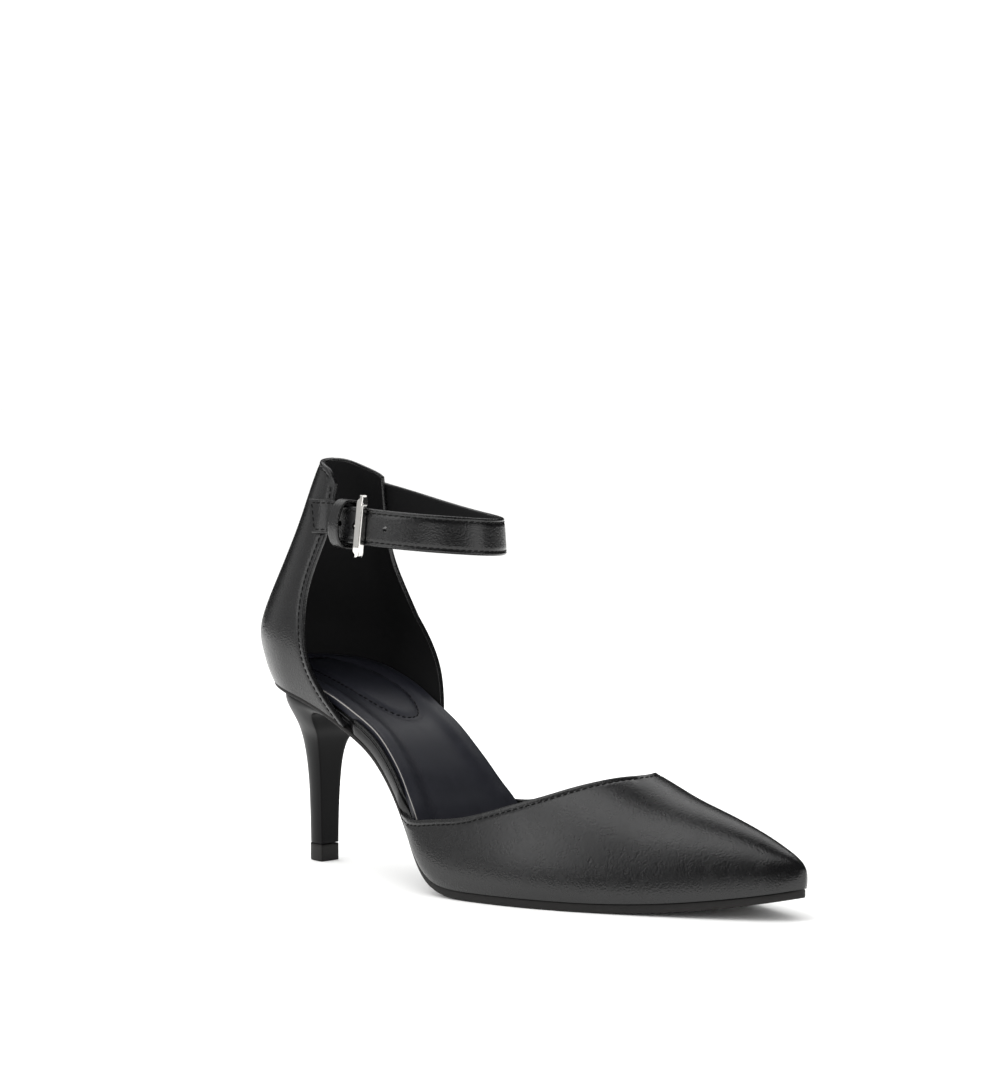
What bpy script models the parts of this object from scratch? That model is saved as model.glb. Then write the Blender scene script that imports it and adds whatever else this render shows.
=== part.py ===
"""A right d'Orsay pump with an ankle strap, as separate solids.

Sizes are in millimetres from the back of the shoe at floor level: +X to the toe, -Y to the outer
(lateral) side, +Z up. An empty then moves the whole shoe to the middle of its footprint, in metres.
"""
from collections import namedtuple
import math

import bmesh
import bpy
import numpy as np

MM = 0.001
LATERAL = -1
MEDIAL = 1

# Driving dimensions of the last
SOLE_BACK = 1.7            # back end of the sole
SOLE_TOE = 238.0           # toe tip of the sole
TOE_Y = 7.4                # the toe tip lies on the inner side of the heel axis
SEAT_HALF = 25.3           # half-width of the round heel seat
SEAT_CENTRE = SOLE_BACK + SEAT_HALF
NOSE_START = 227.5         # x where the toe starts to close
FLAT_BACK = 126.0          # flat tread under the ball, back and front ends
FLAT_FRONT = 165.0
TOE_SPRING = 8.0           # height of the sole under the toe tip
VAMP_REAR = 88.5           # rear ends of the vamp's wings
THROAT = 171.0             # front of the vamp's opening
NOSE_OVERHANG = 0.6        # the toe of the upper stands this far past the sole
SWELL_HEIGHT = 9.0         # the vamp's sides swell most this far above the sole

# Thicknesses and gaps
GAP = 0.3
LAP_GAP = 0.5              # under a flat lap on the quarter's curved face
VAMP_WALL = 1.6
QUARTER_WALL = 2.0
SOLE_INSET = 0.5           # the sole's edge lies this far inside the upper
BOARD_RIM = 2.0            # lower, wide band of the insole board's rim
BOARD_LEDGE = 1.3          # upper, narrow band, set in from the rim
LEDGE_INSET = 0.9
BOARD_INSET = 2.7          # inside the upper's walls; in the open waist the rim comes out to the edge
RIM_INSET = 0.5
SOCK = 1.4
SEAT_SOCK_INSET = 1.7      # the sock's inset from the edge: in the seat, where the quarter swells out,
WAIST_SOCK_INSET = 2.6     # in the open waist,
TOE_SOCK_INSET = 4.7       # and under the vamp
SOCK_SEAT_END = 60.0       # x where the seat's inset has passed into the waist's
SOCK_UNDER_VAMP = (100.0, 150.0)   # x between which the sock draws in
SOCK_TOE_SHORT = 6.0       # the sock ends this far short of the board's toe
SOCK_EDGE = 1.4            # the sock's padded edges stand this far above its middle
SOCK_DIP_WIDTH = 24.0      # the dip fades out where the sock is narrower than this
# x where the board's rim starts to show on each side, is clear, and goes in again
RIM_SHOWN = {LATERAL: (53.0, 57.5, 84.3, 88.0), MEDIAL: (56.0, 60.5, 84.3, 88.0)}

# Plan of the shoe: half-widths from the heel axis, outsole thickness, swell of the vamp's two sides
PlanRow = namedtuple("PlanRow", "x lateral medial sole lateral_swell medial_swell")
PLAN = [
    PlanRow(0.0, 25.3, 25.3, 1.3, 1.0, 1.0),
    PlanRow(27.0, 25.3, 25.3, 1.3, 1.0, 1.0),
    PlanRow(40.0, 25.2, 24.7, 1.3, 1.0, 1.0),
    PlanRow(54.0, 24.9, 23.2, 1.3, 1.0, 1.0),
    PlanRow(66.0, 25.2, 21.8, 1.3, 1.0, 1.0),
    PlanRow(76.0, 26.9, 21.4, 1.3, 1.0, 1.0),
    PlanRow(86.0, 30.0, 22.0, 1.3, 1.6, 1.0),
    PlanRow(96.0, 34.0, 24.2, 1.5, 2.6, 1.2),
    PlanRow(106.0, 37.0, 27.4, 2.2, 2.4, 1.6),
    PlanRow(118.0, 38.3, 31.2, 2.9, 1.8, 1.8),
    PlanRow(132.0, 38.0, 34.4, 3.0, 1.4, 1.8),
    PlanRow(146.0, 36.4, 36.0, 3.0, 1.2, 1.6),
    PlanRow(160.0, 33.2, 36.0, 3.0, 1.0, 1.4),
    PlanRow(175.0, 28.2, 34.2, 3.0, 0.9, 1.2),
    PlanRow(190.0, 22.1, 30.8, 2.9, 0.8, 1.0),
    PlanRow(205.0, 15.2, 26.2, 2.8, 0.7, 0.8),
    PlanRow(220.0, 7.6, 20.6, 2.7, 0.6, 0.6),
    PlanRow(230.0, 2.4, 16.6, 2.6, 0.5, 0.5),
    PlanRow(240.0, -2.6, 12.4, 2.6, 0.5, 0.5),
]

# Underside of the sole from the heel seat down the arch to the flat tread
ArchRow = namedtuple("ArchRow", "x z")
ARCH = [
    ArchRow(0.0, 67.6),
    ArchRow(14.0, 65.4),
    ArchRow(28.0, 62.0),
    ArchRow(42.0, 57.0),
    ArchRow(54.0, 51.1),
    ArchRow(64.0, 45.2),
    ArchRow(74.0, 36.7),
    ArchRow(80.0, 30.6),
    ArchRow(86.0, 23.8),
    ArchRow(91.0, 17.9),
    ArchRow(96.0, 11.8),
    ArchRow(102.0, 6.0),
    ArchRow(108.0, 2.6),
    ArchRow(116.0, 0.6),
    ArchRow(126.0, 0.0),
    ArchRow(140.0, 0.0),
]

# Ridge of the vamp; behind the throat it is the line of the instep that the wings would close over
RidgeRow = namedtuple("RidgeRow", "x y z")
RIDGE = [
    RidgeRow(80.0, -3.0, 84.0),
    RidgeRow(110.0, -1.0, 69.0),
    RidgeRow(140.0, 1.5, 56.0),
    RidgeRow(160.0, 3.2, 48.2),
    RidgeRow(173.5, 4.2, 43.0),
    RidgeRow(185.0, 5.0, 38.5),
    RidgeRow(200.0, 5.9, 34.0),
    RidgeRow(212.0, 6.5, 30.3),
    RidgeRow(222.0, 6.9, 26.7),
    RidgeRow(230.0, 7.2, 23.2),
    RidgeRow(235.0, 7.3, 20.6),
    RidgeRow(238.0, 7.4, 18.2),
]

# Topline of the vamp from the throat (step 0) to the rear corners (step 1): share of the side it climbs
ToplineRow = namedtuple("ToplineRow", "step lateral medial")
TOPLINE = [
    ToplineRow(0.0, 1.0, 1.0),
    ToplineRow(0.1, 0.915, 0.915),
    ToplineRow(0.2, 0.823, 0.823),
    ToplineRow(0.3, 0.715, 0.715),
    ToplineRow(0.4, 0.605, 0.605),
    ToplineRow(0.5, 0.497, 0.502),
    ToplineRow(0.6, 0.406, 0.420),
    ToplineRow(0.7, 0.323, 0.352),
    ToplineRow(0.8, 0.256, 0.292),
    ToplineRow(0.9, 0.187, 0.212),
    ToplineRow(1.0, 0.035, 0.035),
]

# Quarter from the feather line (level 0) to its top edge (level 1)
QuarterRow = namedtuple("QuarterRow", "level back half lateral_front medial_front")
QUARTER = [
    QuarterRow(0.0, 1.7, 25.3, 52.4, 55.5),
    QuarterRow(0.05, -0.2, 26.8, 46.4, 54.2),
    QuarterRow(0.1, -1.4, 28.0, 42.4, 52.6),
    QuarterRow(0.2, -3.0, 29.4, 37.6, 49.0),
    QuarterRow(0.32, -0.6, 28.8, 35.2, 43.0),
    QuarterRow(0.46, 4.4, 26.2, 34.1, 35.4),
    QuarterRow(0.6, 9.4, 22.8, 35.2, 31.4),
    QuarterRow(0.74, 14.0, 19.4, 37.2, 31.8),
    QuarterRow(0.88, 18.2, 16.8, 38.4, 33.0),
    QuarterRow(1.0, 22.4, 15.2, 38.8, 33.8),
]

# Top edge of the quarter on its two sides, falling from the back and rounded at the front corners
TopEdgeRow = namedtuple("TopEdgeRow", "x lateral medial")
TOP_EDGE = [
    TopEdgeRow(16.0, 148.0, 148.0),
    TopEdgeRow(22.0, 147.8, 147.8),
    TopEdgeRow(26.0, 147.2, 145.3),
    TopEdgeRow(30.0, 146.3, 142.3),
    TopEdgeRow(33.0, 145.3, 140.2),
    TopEdgeRow(36.0, 143.6, 137.6),
    TopEdgeRow(39.0, 139.4, 135.0),
]

# Heel from the seat down: heights at the back and at the breast, its D-shaped plan, and how far
# each section follows the curve of the sole above it
HeelRow = namedtuple("HeelRow", "back_z breast_z back breast half fullness follow")
HEEL = [
    HeelRow(64.6, 52.0, 4.8, 49.6, 21.2, 2.5, 1.0),
    HeelRow(62.2, 55.8, 5.3, 40.0, 20.2, 2.5, 1.0),
    HeelRow(58.6, 56.2, 5.8, 28.9, 17.5, 2.3, 0.6),
    HeelRow(53.4, 50.8, 6.6, 25.4, 12.9, 2.1, 0.2),
    HeelRow(47.4, 46.0, 7.6, 22.6, 8.7, 2.0, 0.0),
    HeelRow(40.0, 39.6, 9.0, 21.0, 6.4, 2.0, 0.0),
    HeelRow(30.0, 30.0, 10.2, 20.4, 5.2, 2.0, 0.0),
    HeelRow(18.0, 18.0, 10.7, 20.1, 4.6, 2.0, 0.0),
    HeelRow(6.6, 6.6, 10.9, 20.0, 4.35, 2.0, 0.0),
]
HEEL_TOP = HeelRow(None, None, 4.2, 51.0, 22.8, 2.6, 1.0)
TOP_PIECE_HEIGHT = 6.3
TOP_PIECE_GROW = 0.15      # the top piece stands this far past the heel tip

# Ankle strap: its lap on the inner side of the quarter, then the route of its middle line
STRAP_WIDTH = 13.2
STRAP_THICK = 2.2
STRAP_TIP = 5.0            # length of the rounded tip
TIP_SHARE = 0.45           # width left at the tip's end
STRAP_CORNER = 0.7
LapRow = namedtuple("LapRow", "x z")
LAP = [LapRow(24.5, 133.2), LapRow(28.5, 132.4), LapRow(32.5, 131.4)]
RouteRow = namedtuple("RouteRow", "x y z lean")
STRAP_ROUTE = [
    RouteRow(44.0, 22.4, 128.5, 9.0),
    RouteRow(57.0, 24.2, 125.6, 6.0),
    RouteRow(72.0, 23.2, 123.3, 4.0),
    RouteRow(87.0, 18.4, 122.2, 4.0),
    RouteRow(97.0, 10.6, 122.0, 4.0),
    RouteRow(101.2, 0.0, 122.4, 4.0),
    RouteRow(97.0, -11.3, 123.3, 4.0),
    RouteRow(87.0, -20.2, 124.3, 4.0),
    RouteRow(73.0, -25.4, 125.3, 4.0),
    RouteRow(60.0, -26.8, 126.1, 4.5),
    RouteRow(49.5, -25.8, 126.6, 5.5),
]
HOLE_DIAMETER = 2.0
OPEN_HOLES = (54.2, 74.8)  # x of the open holes on the outer run

# Buckle: distances along the strap are from the heel bar towards the front
BAR_X = 60.2               # x of the heel bar
BAR_RADIUS = 1.0
TAB_THICK = 1.1
BAND_CORNER = 0.3          # rounding of the tab's and the keeper's edges
TAB_WIDTH = 12.4
TAB_STATIONS = (38.5, 35.0, 31.0)        # x of the tab's rear part, which lies on the quarter
TAB_LEAD = (0.0, 5.0, 10.0)              # distances behind the bar where it lies under the strap
TAB_RETURN = (9.0, 6.0, 2.6, 1.9, 1.2, 0.6)   # folded-back layer, from its end to the bar
TAB_CLOSE = (0.4, 2.6)     # behind the bar, the two layers close up between these distances
TAB_SKEW = 0.4             # the tab's rear end is cut at a slant
TAB_RISE = 1.6             # the tab climbs this far from the bar to the quarter
FRAME_HALF_HEIGHT = 9.7
FRAME_LENGTH = 5.4         # heel bar to front bar
FRONT_BAR_WIDE = 1.5       # half-width of the flat front bar along the strap
FRONT_BAR_DEEP = 1.4       # its half-thickness
FRONT_BAR_POWER = 0.5      # squares its section; 1 is round
FRONT_BAR_BLEND = (0.3, 0.65)   # shares of the frame's length between which the arms widen into it
FRONT_BAR_TWIST = (0.1, 0.9)    # part of each corner over which the section turns to lie flat on the strap
CORNER = 2.4
PRONG_RADIUS = 0.6
PRONG_HOLE = 1.7           # radius of the worn hole that the prong stands in
PRONG_HOLE_AHEAD = 2.0     # that hole lies this far in front of the heel bar
PRONG_WRAP = 225.0         # degrees that the prong's hook turns round the heel bar
ProngRow = namedtuple("ProngRow", "ahead outward")
PRONG = [ProngRow(1.5, -1.0), ProngRow(1.9, 0.5), ProngRow(2.4, 1.6), ProngRow(2.85, 1.9)]
PRONG_SLOT = 2.6           # height of the slot in the tab's fold
KEEPER_BACK = 5.6          # middle of the keeper, behind the heel bar
KEEPER_BAND = 5.4
KEEPER_THICK = 1.2
KEEPER_HALF_HEIGHT = 8.2
KEEPER_PROUD = 4.6         # outward reach from the strap's middle
KEEPER_INSIDE = 5.0        # inward reach
KEEPER_SQUARE = 0.4        # power that squares the inner half of the loop against the tab

Finish = namedtuple("Finish", "colour roughness metallic")
FINISHES = {
    "leather": Finish((0.012, 0.012, 0.013), 0.42, 0.0),
    "sock": Finish((0.010, 0.010, 0.013), 0.45, 0.0),
    "sole": Finish((0.014, 0.012, 0.011), 0.6, 0.0),
    "metal": Finish((0.78, 0.77, 0.75), 0.15, 1.0),
}


def spline(xs, ys):
    """Natural cubic spline through a short table."""
    xs = np.asarray(xs, float)
    ys = np.asarray(ys, float)
    count = len(xs)
    step = np.diff(xs)
    system = np.eye(count)
    right = np.zeros(count)
    for i in range(1, count - 1):
        system[i, i - 1:i + 2] = step[i - 1], 2 * (step[i - 1] + step[i]), step[i]
        right[i] = 6 * ((ys[i + 1] - ys[i]) / step[i] - (ys[i] - ys[i - 1]) / step[i - 1])
    bend = np.linalg.solve(system, right)

    def at(x):
        x = np.clip(np.asarray(x, float), xs[0], xs[-1])
        k = np.clip(np.searchsorted(xs, x) - 1, 0, count - 2)
        before = x - xs[k]
        after = xs[k + 1] - x
        cubic = (bend[k] * after ** 3 + bend[k + 1] * before ** 3) / (6 * step[k])
        low = (ys[k] / step[k] - bend[k] * step[k] / 6) * after
        high = (ys[k + 1] / step[k] - bend[k + 1] * step[k] / 6) * before
        return cubic + low + high

    return at


def column(rows, key, value):
    """A table's column as a smooth function of another column."""
    return spline([getattr(row, key) for row in rows], [getattr(row, value) for row in rows])


half_width = {LATERAL: column(PLAN, "x", "lateral"), MEDIAL: column(PLAN, "x", "medial")}
side_swell = {LATERAL: column(PLAN, "x", "lateral_swell"), MEDIAL: column(PLAN, "x", "medial_swell")}
sole_thickness = column(PLAN, "x", "sole")
arch_height = column(ARCH, "x", "z")
ridge_y = column(RIDGE, "x", "y")
ridge_z = column(RIDGE, "x", "z")
topline = {LATERAL: column(TOPLINE, "step", "lateral"), MEDIAL: column(TOPLINE, "step", "medial")}
quarter_back = column(QUARTER, "level", "back")
quarter_half = column(QUARTER, "level", "half")
quarter_front = {
    LATERAL: column(QUARTER, "level", "lateral_front"),
    MEDIAL: column(QUARTER, "level", "medial_front"),
}
top_edge = {LATERAL: column(TOP_EDGE, "x", "lateral"), MEDIAL: column(TOP_EDGE, "x", "medial")}


def closing(x, start, end):
    """1 up to start, then falls to 0 at end along an ellipse."""
    share = np.clip((x - start) / (end - start), 0.0, 1.0)
    return np.sqrt(1.0 - share ** 2)


def ease(x, start, end):
    """Smooth step from 0 at start to 1 at end."""
    share = np.clip((x - start) / (end - start), 0.0, 1.0)
    return share * share * (3.0 - 2.0 * share)


def sole_bottom(x):
    """Height of the sole's underside."""
    x = np.asarray(x, float)
    spring = TOE_SPRING * np.clip((x - FLAT_FRONT) / (SOLE_TOE - FLAT_FRONT), 0.0, None) ** 2
    return np.where(x < FLAT_BACK, np.maximum(arch_height(x), 0.0), spring)


def layer(x, thickness):
    """Height of a layer this thick on top of the outsole, allowing for the slope of the arch."""
    slope = sole_bottom(x + 0.5) - sole_bottom(x - 0.5)
    return sole_bottom(x) + (sole_thickness(x) + thickness) * np.sqrt(1.0 + slope ** 2)


def feather(x):
    """Lower edge of the upper, just above the outsole."""
    return layer(x, GAP)


def edge(x, side, inset=0.0):
    """Outline of the shoe's bottom in plan, on one side, optionally set in."""
    x = np.asarray(x, float)
    y = side * (half_width[side](x) - inset)
    nose = closing(x, NOSE_START - inset, SOLE_TOE - inset)
    tail = closing(-x, -SEAT_CENTRE, -SOLE_BACK - inset)
    return (TOE_Y + (y - TOE_Y) * nose) * tail


def vamp_point(x, side, climb):
    """Outer face of the vamp: climb goes from the feather line (0) over the side to the ridge (1)."""
    angle = climb * math.pi / 2
    foot_z = feather(x)
    rise = (ridge_z(x) - foot_z) * np.sin(angle)
    y = ridge_y(x) + (edge(x, side) - ridge_y(x)) * np.cos(angle)
    share = rise / SWELL_HEIGHT
    swell = side_swell[side](x) * share * np.exp(1.0 - share) * np.cos(angle)
    y = y + side * swell * closing(x, NOSE_START, SOLE_TOE)
    near_tip = ease(x, NOSE_START, SOLE_TOE) ** 2
    return np.array([x + NOSE_OVERHANG * near_tip * np.sin(2 * angle), y, foot_z + rise])


def quarter_point(x, side, level):
    """Outer face of the quarter at a level between the feather line (0) and the top edge (1)."""
    back = quarter_back(level)
    half = quarter_half(level)
    spread = (half_width[side](x) - SEAT_HALF) * (1.0 - level)
    y = side * (half + spread) * closing(-x, -back - half, -back)
    z = feather(x) * (1.0 - level) + top_edge[side](x) * level
    return np.array([x, y, z])


def on_quarter(x, z, side, clear):
    """A point this far outside the quarter's face, and the face's lean in degrees."""
    level = (z - feather(x)) / (top_edge[side](x) - feather(x))
    here = quarter_point(x, side, level)
    ahead = quarter_point(x + 0.5, side, level) - here
    above = quarter_point(x, side, level + 0.02) - here
    normal = np.cross(ahead, above) * -side
    normal = normal / np.linalg.norm(normal)
    lean = math.degrees(math.atan2(normal[2], math.hypot(normal[0], normal[1])))
    return here + normal * clear, lean


def material(name, finish):
    """A plain Principled material with one part's colour and gloss."""
    made = bpy.data.materials.new(name)
    made.use_nodes = True
    shader = made.node_tree.nodes["Principled BSDF"]
    shader.inputs["Base Color"].default_value = (*finish.colour, 1.0)
    shader.inputs["Roughness"].default_value = finish.roughness
    shader.inputs["Metallic"].default_value = finish.metallic
    return made


def link_object(name, bm, finish):
    """A mesh in millimetres becomes one named object in metres, under the shoe's empty."""
    bmesh.ops.remove_doubles(bm, verts=bm.verts, dist=0.002)
    bmesh.ops.recalc_face_normals(bm, faces=bm.faces)
    bmesh.ops.scale(bm, vec=(MM, MM, MM), verts=bm.verts)
    mesh = bpy.data.meshes.new(name)
    bm.to_mesh(mesh)
    bm.free()
    mesh.shade_smooth()
    mesh.set_sharp_from_angle(angle=math.radians(40))
    item = bpy.data.objects.new(name, mesh)
    bpy.context.scene.collection.objects.link(item)
    item.data.materials.append(material(name, FINISHES[finish]))
    item.parent = shoe
    return item


def skin(bm, grid):
    """Faces between neighbouring rows of points."""
    rows = [[bm.verts.new(point) for point in row] for row in grid]
    for near, far in zip(rows, rows[1:]):
        for i in range(len(near) - 1):
            bm.faces.new((near[i], near[i + 1], far[i + 1], far[i]))


def strips(bm, loop):
    """A cap of strips across from side to side, for a loop that needn't be flat."""
    last = len(loop) - 1
    middle = last // 2
    for i in range(middle - 1):
        bm.faces.new((loop[i], loop[i + 1], loop[last - i - 1], loop[last - i]))
    bm.faces.new((loop[middle - 1], loop[middle], loop[middle + 1]))


def tube(bm, rings, closed=False, cap=None):
    """Faces round a row of rings; an open tube gets end caps."""
    loops = [[bm.verts.new(point) for point in ring] for ring in rings]
    pairs = list(zip(loops, loops[1:]))
    if closed:
        pairs.append((loops[-1], loops[0]))
    for near, far in pairs:
        for i in range(len(near)):
            j = (i + 1) % len(near)
            bm.faces.new((near[i], near[j], far[j], far[i]))
    for loop in () if closed else (loops[0], loops[-1]):
        if cap:
            cap(bm, loop)
        else:
            bm.faces.new(loop)


def wall(item, thickness):
    """Give a sheet its real thickness, inwards from the outer face."""
    solid = item.modifiers.new("wall", "SOLIDIFY")
    solid.thickness = thickness * MM
    solid.offset = -1.0
    solid.use_even_offset = True
    solid.use_quality_normals = True


def end_stations(first, last, count):
    """Stations that crowd towards both ends, where the outline is round."""
    turn = np.linspace(0.0, math.pi, count)
    return (first + last) / 2 - (last - first) / 2 * np.cos(turn)


def slab(name, finish, stations, section):
    """A closed layer; section(x) gives the points round its edge."""
    bm = bmesh.new()
    tube(bm, [section(x) for x in stations])
    link_object(name, bm, finish)


def build_outsole():
    """Thin sole from the heel seat to the toe, thicker under the ball."""

    def section(x):
        left = edge(x, LATERAL, SOLE_INSET)
        right = edge(x, MEDIAL, SOLE_INSET)
        low = sole_bottom(x)
        high = layer(x, 0.0)
        return [(x, left, low), (x, right, low), (x, right, high), (x, left, high)]

    slab("outsole", "sole", end_stations(SOLE_BACK + SOLE_INSET, SOLE_TOE - SOLE_INSET, 72), section)


def rim_inset(x, side):
    """The board lies inside the upper's walls, and comes out to the edge in the open waist."""
    start, clear, back, hidden = RIM_SHOWN[side]
    shown = ease(x, start, clear) - ease(x, back, hidden)
    return BOARD_INSET - (BOARD_INSET - RIM_INSET) * shown


def sock_inset(x):
    """Distance of the sock's edges from the outline."""
    waist = (WAIST_SOCK_INSET - SEAT_SOCK_INSET) * ease(x, SEAT_CENTRE, SOCK_SEAT_END)
    return SEAT_SOCK_INSET + waist + (TOE_SOCK_INSET - WAIST_SOCK_INSET) * ease(x, *SOCK_UNDER_VAMP)


def build_insole_board():
    """Board with a covered rim in two bands."""

    def section(x):
        outer = [edge(x, side, rim_inset(x, side)) for side in (LATERAL, MEDIAL)]
        inner = [edge(x, side, rim_inset(x, side) + LEDGE_INSET) for side in (LATERAL, MEDIAL)]
        low = layer(x, GAP)
        step = layer(x, GAP + BOARD_RIM)
        high = layer(x, GAP + BOARD_RIM + BOARD_LEDGE)
        return [
            (x, outer[0], low), (x, outer[1], low), (x, outer[1], step), (x, inner[1], step),
            (x, inner[1], high), (x, inner[0], high), (x, inner[0], step), (x, outer[0], step),
        ]

    ends = BOARD_INSET + LEDGE_INSET
    slab("insole_board", "leather", end_stations(SOLE_BACK + ends, SOLE_TOE - ends, 54), section)


def build_sock():
    """Padded insole: its edges stand above its middle."""
    under = GAP + BOARD_RIM + BOARD_LEDGE + GAP
    shares = np.linspace(-1.0, 1.0, 8)

    def section(x):
        left = edge(x, LATERAL, sock_inset(x))
        right = edge(x, MEDIAL, sock_inset(x))
        low = [(x, left, layer(x, under)), (x, right, layer(x, under))]
        dip = SOCK_EDGE * min((right - left) / SOCK_DIP_WIDTH, 1.0)
        top = []
        for share in shares[::-1]:
            y = left + (right - left) * (share + 1.0) / 2
            top.append((x, y, layer(x, under + SOCK + SOCK_EDGE - dip * (1.0 - share ** 4))))
        return low + top

    toe = SOLE_TOE - TOE_SOCK_INSET - SOCK_TOE_SHORT
    slab("sock", "sock", end_stations(SOLE_BACK + SEAT_SOCK_INSET, toe, 48), section)


def build_vamp():
    """Hollow front upper: two sides that meet along the ridge and round the toe."""
    spread = np.linspace(1.0, 0.0, 17)
    wing_steps = (spread + np.sin(spread * math.pi / 2)) / 2
    front_steps = np.linspace(0.0, 1.0, 17)[1:]
    climb_shares = np.linspace(0.0, 1.0, 12)
    bm = bmesh.new()
    for side in (LATERAL, MEDIAL):
        grid = []
        for step in wing_steps:
            x = THROAT - (THROAT - VAMP_REAR) * step ** 2
            grid.append([vamp_point(x, side, share * float(topline[side](step))) for share in climb_shares])
        for step in front_steps:
            x = SOLE_TOE - (SOLE_TOE - THROAT) * (1.0 - step) ** 2
            grid.append([vamp_point(x, side, share) for share in climb_shares])
        skin(bm, grid if side == LATERAL else [row[::-1] for row in grid])
    wall(link_object("vamp", bm, "leather"), VAMP_WALL)


def build_quarter():
    """Hollow rear upper with the high counter, cut back on both sides."""
    levels = np.concatenate([np.linspace(0.0, 0.1, 4)[:-1], np.linspace(0.1, 1.0, 16)])
    turns = np.linspace(0.0, 1.0, 15)
    grid = []
    for level in levels:
        back = float(quarter_back(level))
        row = []
        for side in (LATERAL, MEDIAL):
            reach = float(quarter_front[side](level)) - back
            half_row = [quarter_point(back + reach * turn ** 2, side, level) for turn in turns]
            row += half_row[::-1] if side == LATERAL else half_row[1:]
        grid.append(row)
    bm = bmesh.new()
    skin(bm, grid)
    wall(link_object("quarter", bm, "leather"), QUARTER_WALL)


def heel_ring(row, height):
    """D-shaped section of the heel: straight breast, round back; height(x) gives its level."""
    ring = []
    for turn in np.linspace(0.0, math.pi, 25):
        power = 2.0 / row.fullness
        x = row.breast - (row.breast - row.back) * math.sin(turn) ** power
        y = -row.half * math.copysign(abs(math.cos(turn)) ** power, math.cos(turn))
        ring.append((x, y, float(height(x))))
    return ring


def heel_piece(name, finish, rings):
    """A stack of D-shaped rings as one solid."""
    bm = bmesh.new()
    tube(bm, rings, cap=strips)
    link_object(name, bm, finish)


def heel_height(row, x):
    """Height of a heel section: from its back to its breast, bent by part of the curve of the sole."""
    share = (x - row.back) / (row.breast - row.back)
    ends = sole_bottom(row.back) * (1.0 - share) + sole_bottom(row.breast) * share
    return row.back_z * (1.0 - share) + row.breast_z * share + row.follow * (sole_bottom(x) - ends)


def build_heel():
    """Slim heel from the seat to its tip, and the top piece under it."""
    rings = [heel_ring(HEEL_TOP, lambda x: sole_bottom(x) - GAP)]
    for row in HEEL:
        rings.append(heel_ring(row, lambda x, row=row: heel_height(row, x)))
    heel_piece("heel", "leather", rings)
    tip = HEEL[-1]
    grown = tip._replace(
        back=tip.back - TOP_PIECE_GROW, breast=tip.breast + TOP_PIECE_GROW, half=tip.half + TOP_PIECE_GROW)
    levels = [lambda x: 0.0, lambda x: TOP_PIECE_HEIGHT]
    heel_piece("top_piece", "sole", [heel_ring(grown, level) for level in levels])


class Route:
    """A strap's middle line with its outward and upward directions."""

    def __init__(self, points, leans):
        points = np.array(points, float)
        self.knots = np.concatenate([[0.0], np.cumsum(np.linalg.norm(np.diff(points, axis=0), axis=1))])
        self.length = self.knots[-1]
        self.axes = [spline(self.knots, points[:, k]) for k in range(3)]
        self.lean = spline(self.knots, leans)

    def at(self, s):
        """Point, direction along, outward normal and up direction; straight on past either end."""
        inside = min(max(s, 0.3), self.length - 0.3)
        place = np.array([axis(inside) for axis in self.axes], float)
        ahead = np.array([axis(inside + 0.2) - axis(inside - 0.2) for axis in self.axes], float)
        along = ahead / np.linalg.norm(ahead)
        side = np.cross((0.0, 0.0, 1.0), along)
        side = side / np.linalg.norm(side)
        lean = math.radians(float(self.lean(inside)))
        rise = np.cross(along, side)
        out = side * math.cos(lean) + rise * math.sin(lean)
        return place + along * (s - inside), along, out, np.cross(along, out)

    def offset(self, s, outward):
        """A point beside the route."""
        place, _, out, _ = self.at(s)
        return place + out * outward

    def find_x(self, x):
        """Distance along the outer run where the route passes x."""
        samples = np.linspace(self.length / 2, self.length, 400)
        return float(samples[np.argmin(np.abs(self.axes[0](samples) - x))])


def band_section(half_thick, half_high, corner):
    """Rounded rectangle: outward and upward offsets round a band."""
    thin = half_thick - corner
    tall = half_high - corner
    return [
        (-half_thick, -tall), (-thin, -half_high), (thin, -half_high), (half_thick, -tall),
        (half_thick, tall), (thin, half_high), (-thin, half_high), (-half_thick, tall),
    ]


def strap_route():
    """Lap on the quarter, then round the ankle to the buckle."""
    points = []
    leans = []
    for row in LAP:
        place, lean = on_quarter(row.x, row.z, MEDIAL, LAP_GAP + STRAP_THICK / 2)
        points.append(place)
        leans.append(lean)
    for row in STRAP_ROUTE:
        points.append((row.x, row.y, row.z))
        leans.append(row.lean)
    return Route(points, leans)


def cut(item, cutter):
    """Take a hidden cutter out of an object."""
    cutter.hide_render = True
    cutter.display_type = "WIRE"
    hole = item.modifiers.new(cutter.name, "BOOLEAN")
    hole.operation = "DIFFERENCE"
    hole.solver = "EXACT"
    hole.object = cutter


def peg(name, centre, axis, radius, length):
    """A round cutter."""
    across = np.cross(axis, (0.0, 0.0, 1.0))
    across = across / np.linalg.norm(across)
    other = np.cross(axis, across)
    turns = np.linspace(0.0, 2 * math.pi, 12, endpoint=False)
    ring = np.array([across * math.cos(turn) + other * math.sin(turn) for turn in turns]) * radius
    bm = bmesh.new()
    tube(bm, [ring + centre - axis * length / 2, ring + centre + axis * length / 2])
    return link_object(name, bm, "sole")


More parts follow.
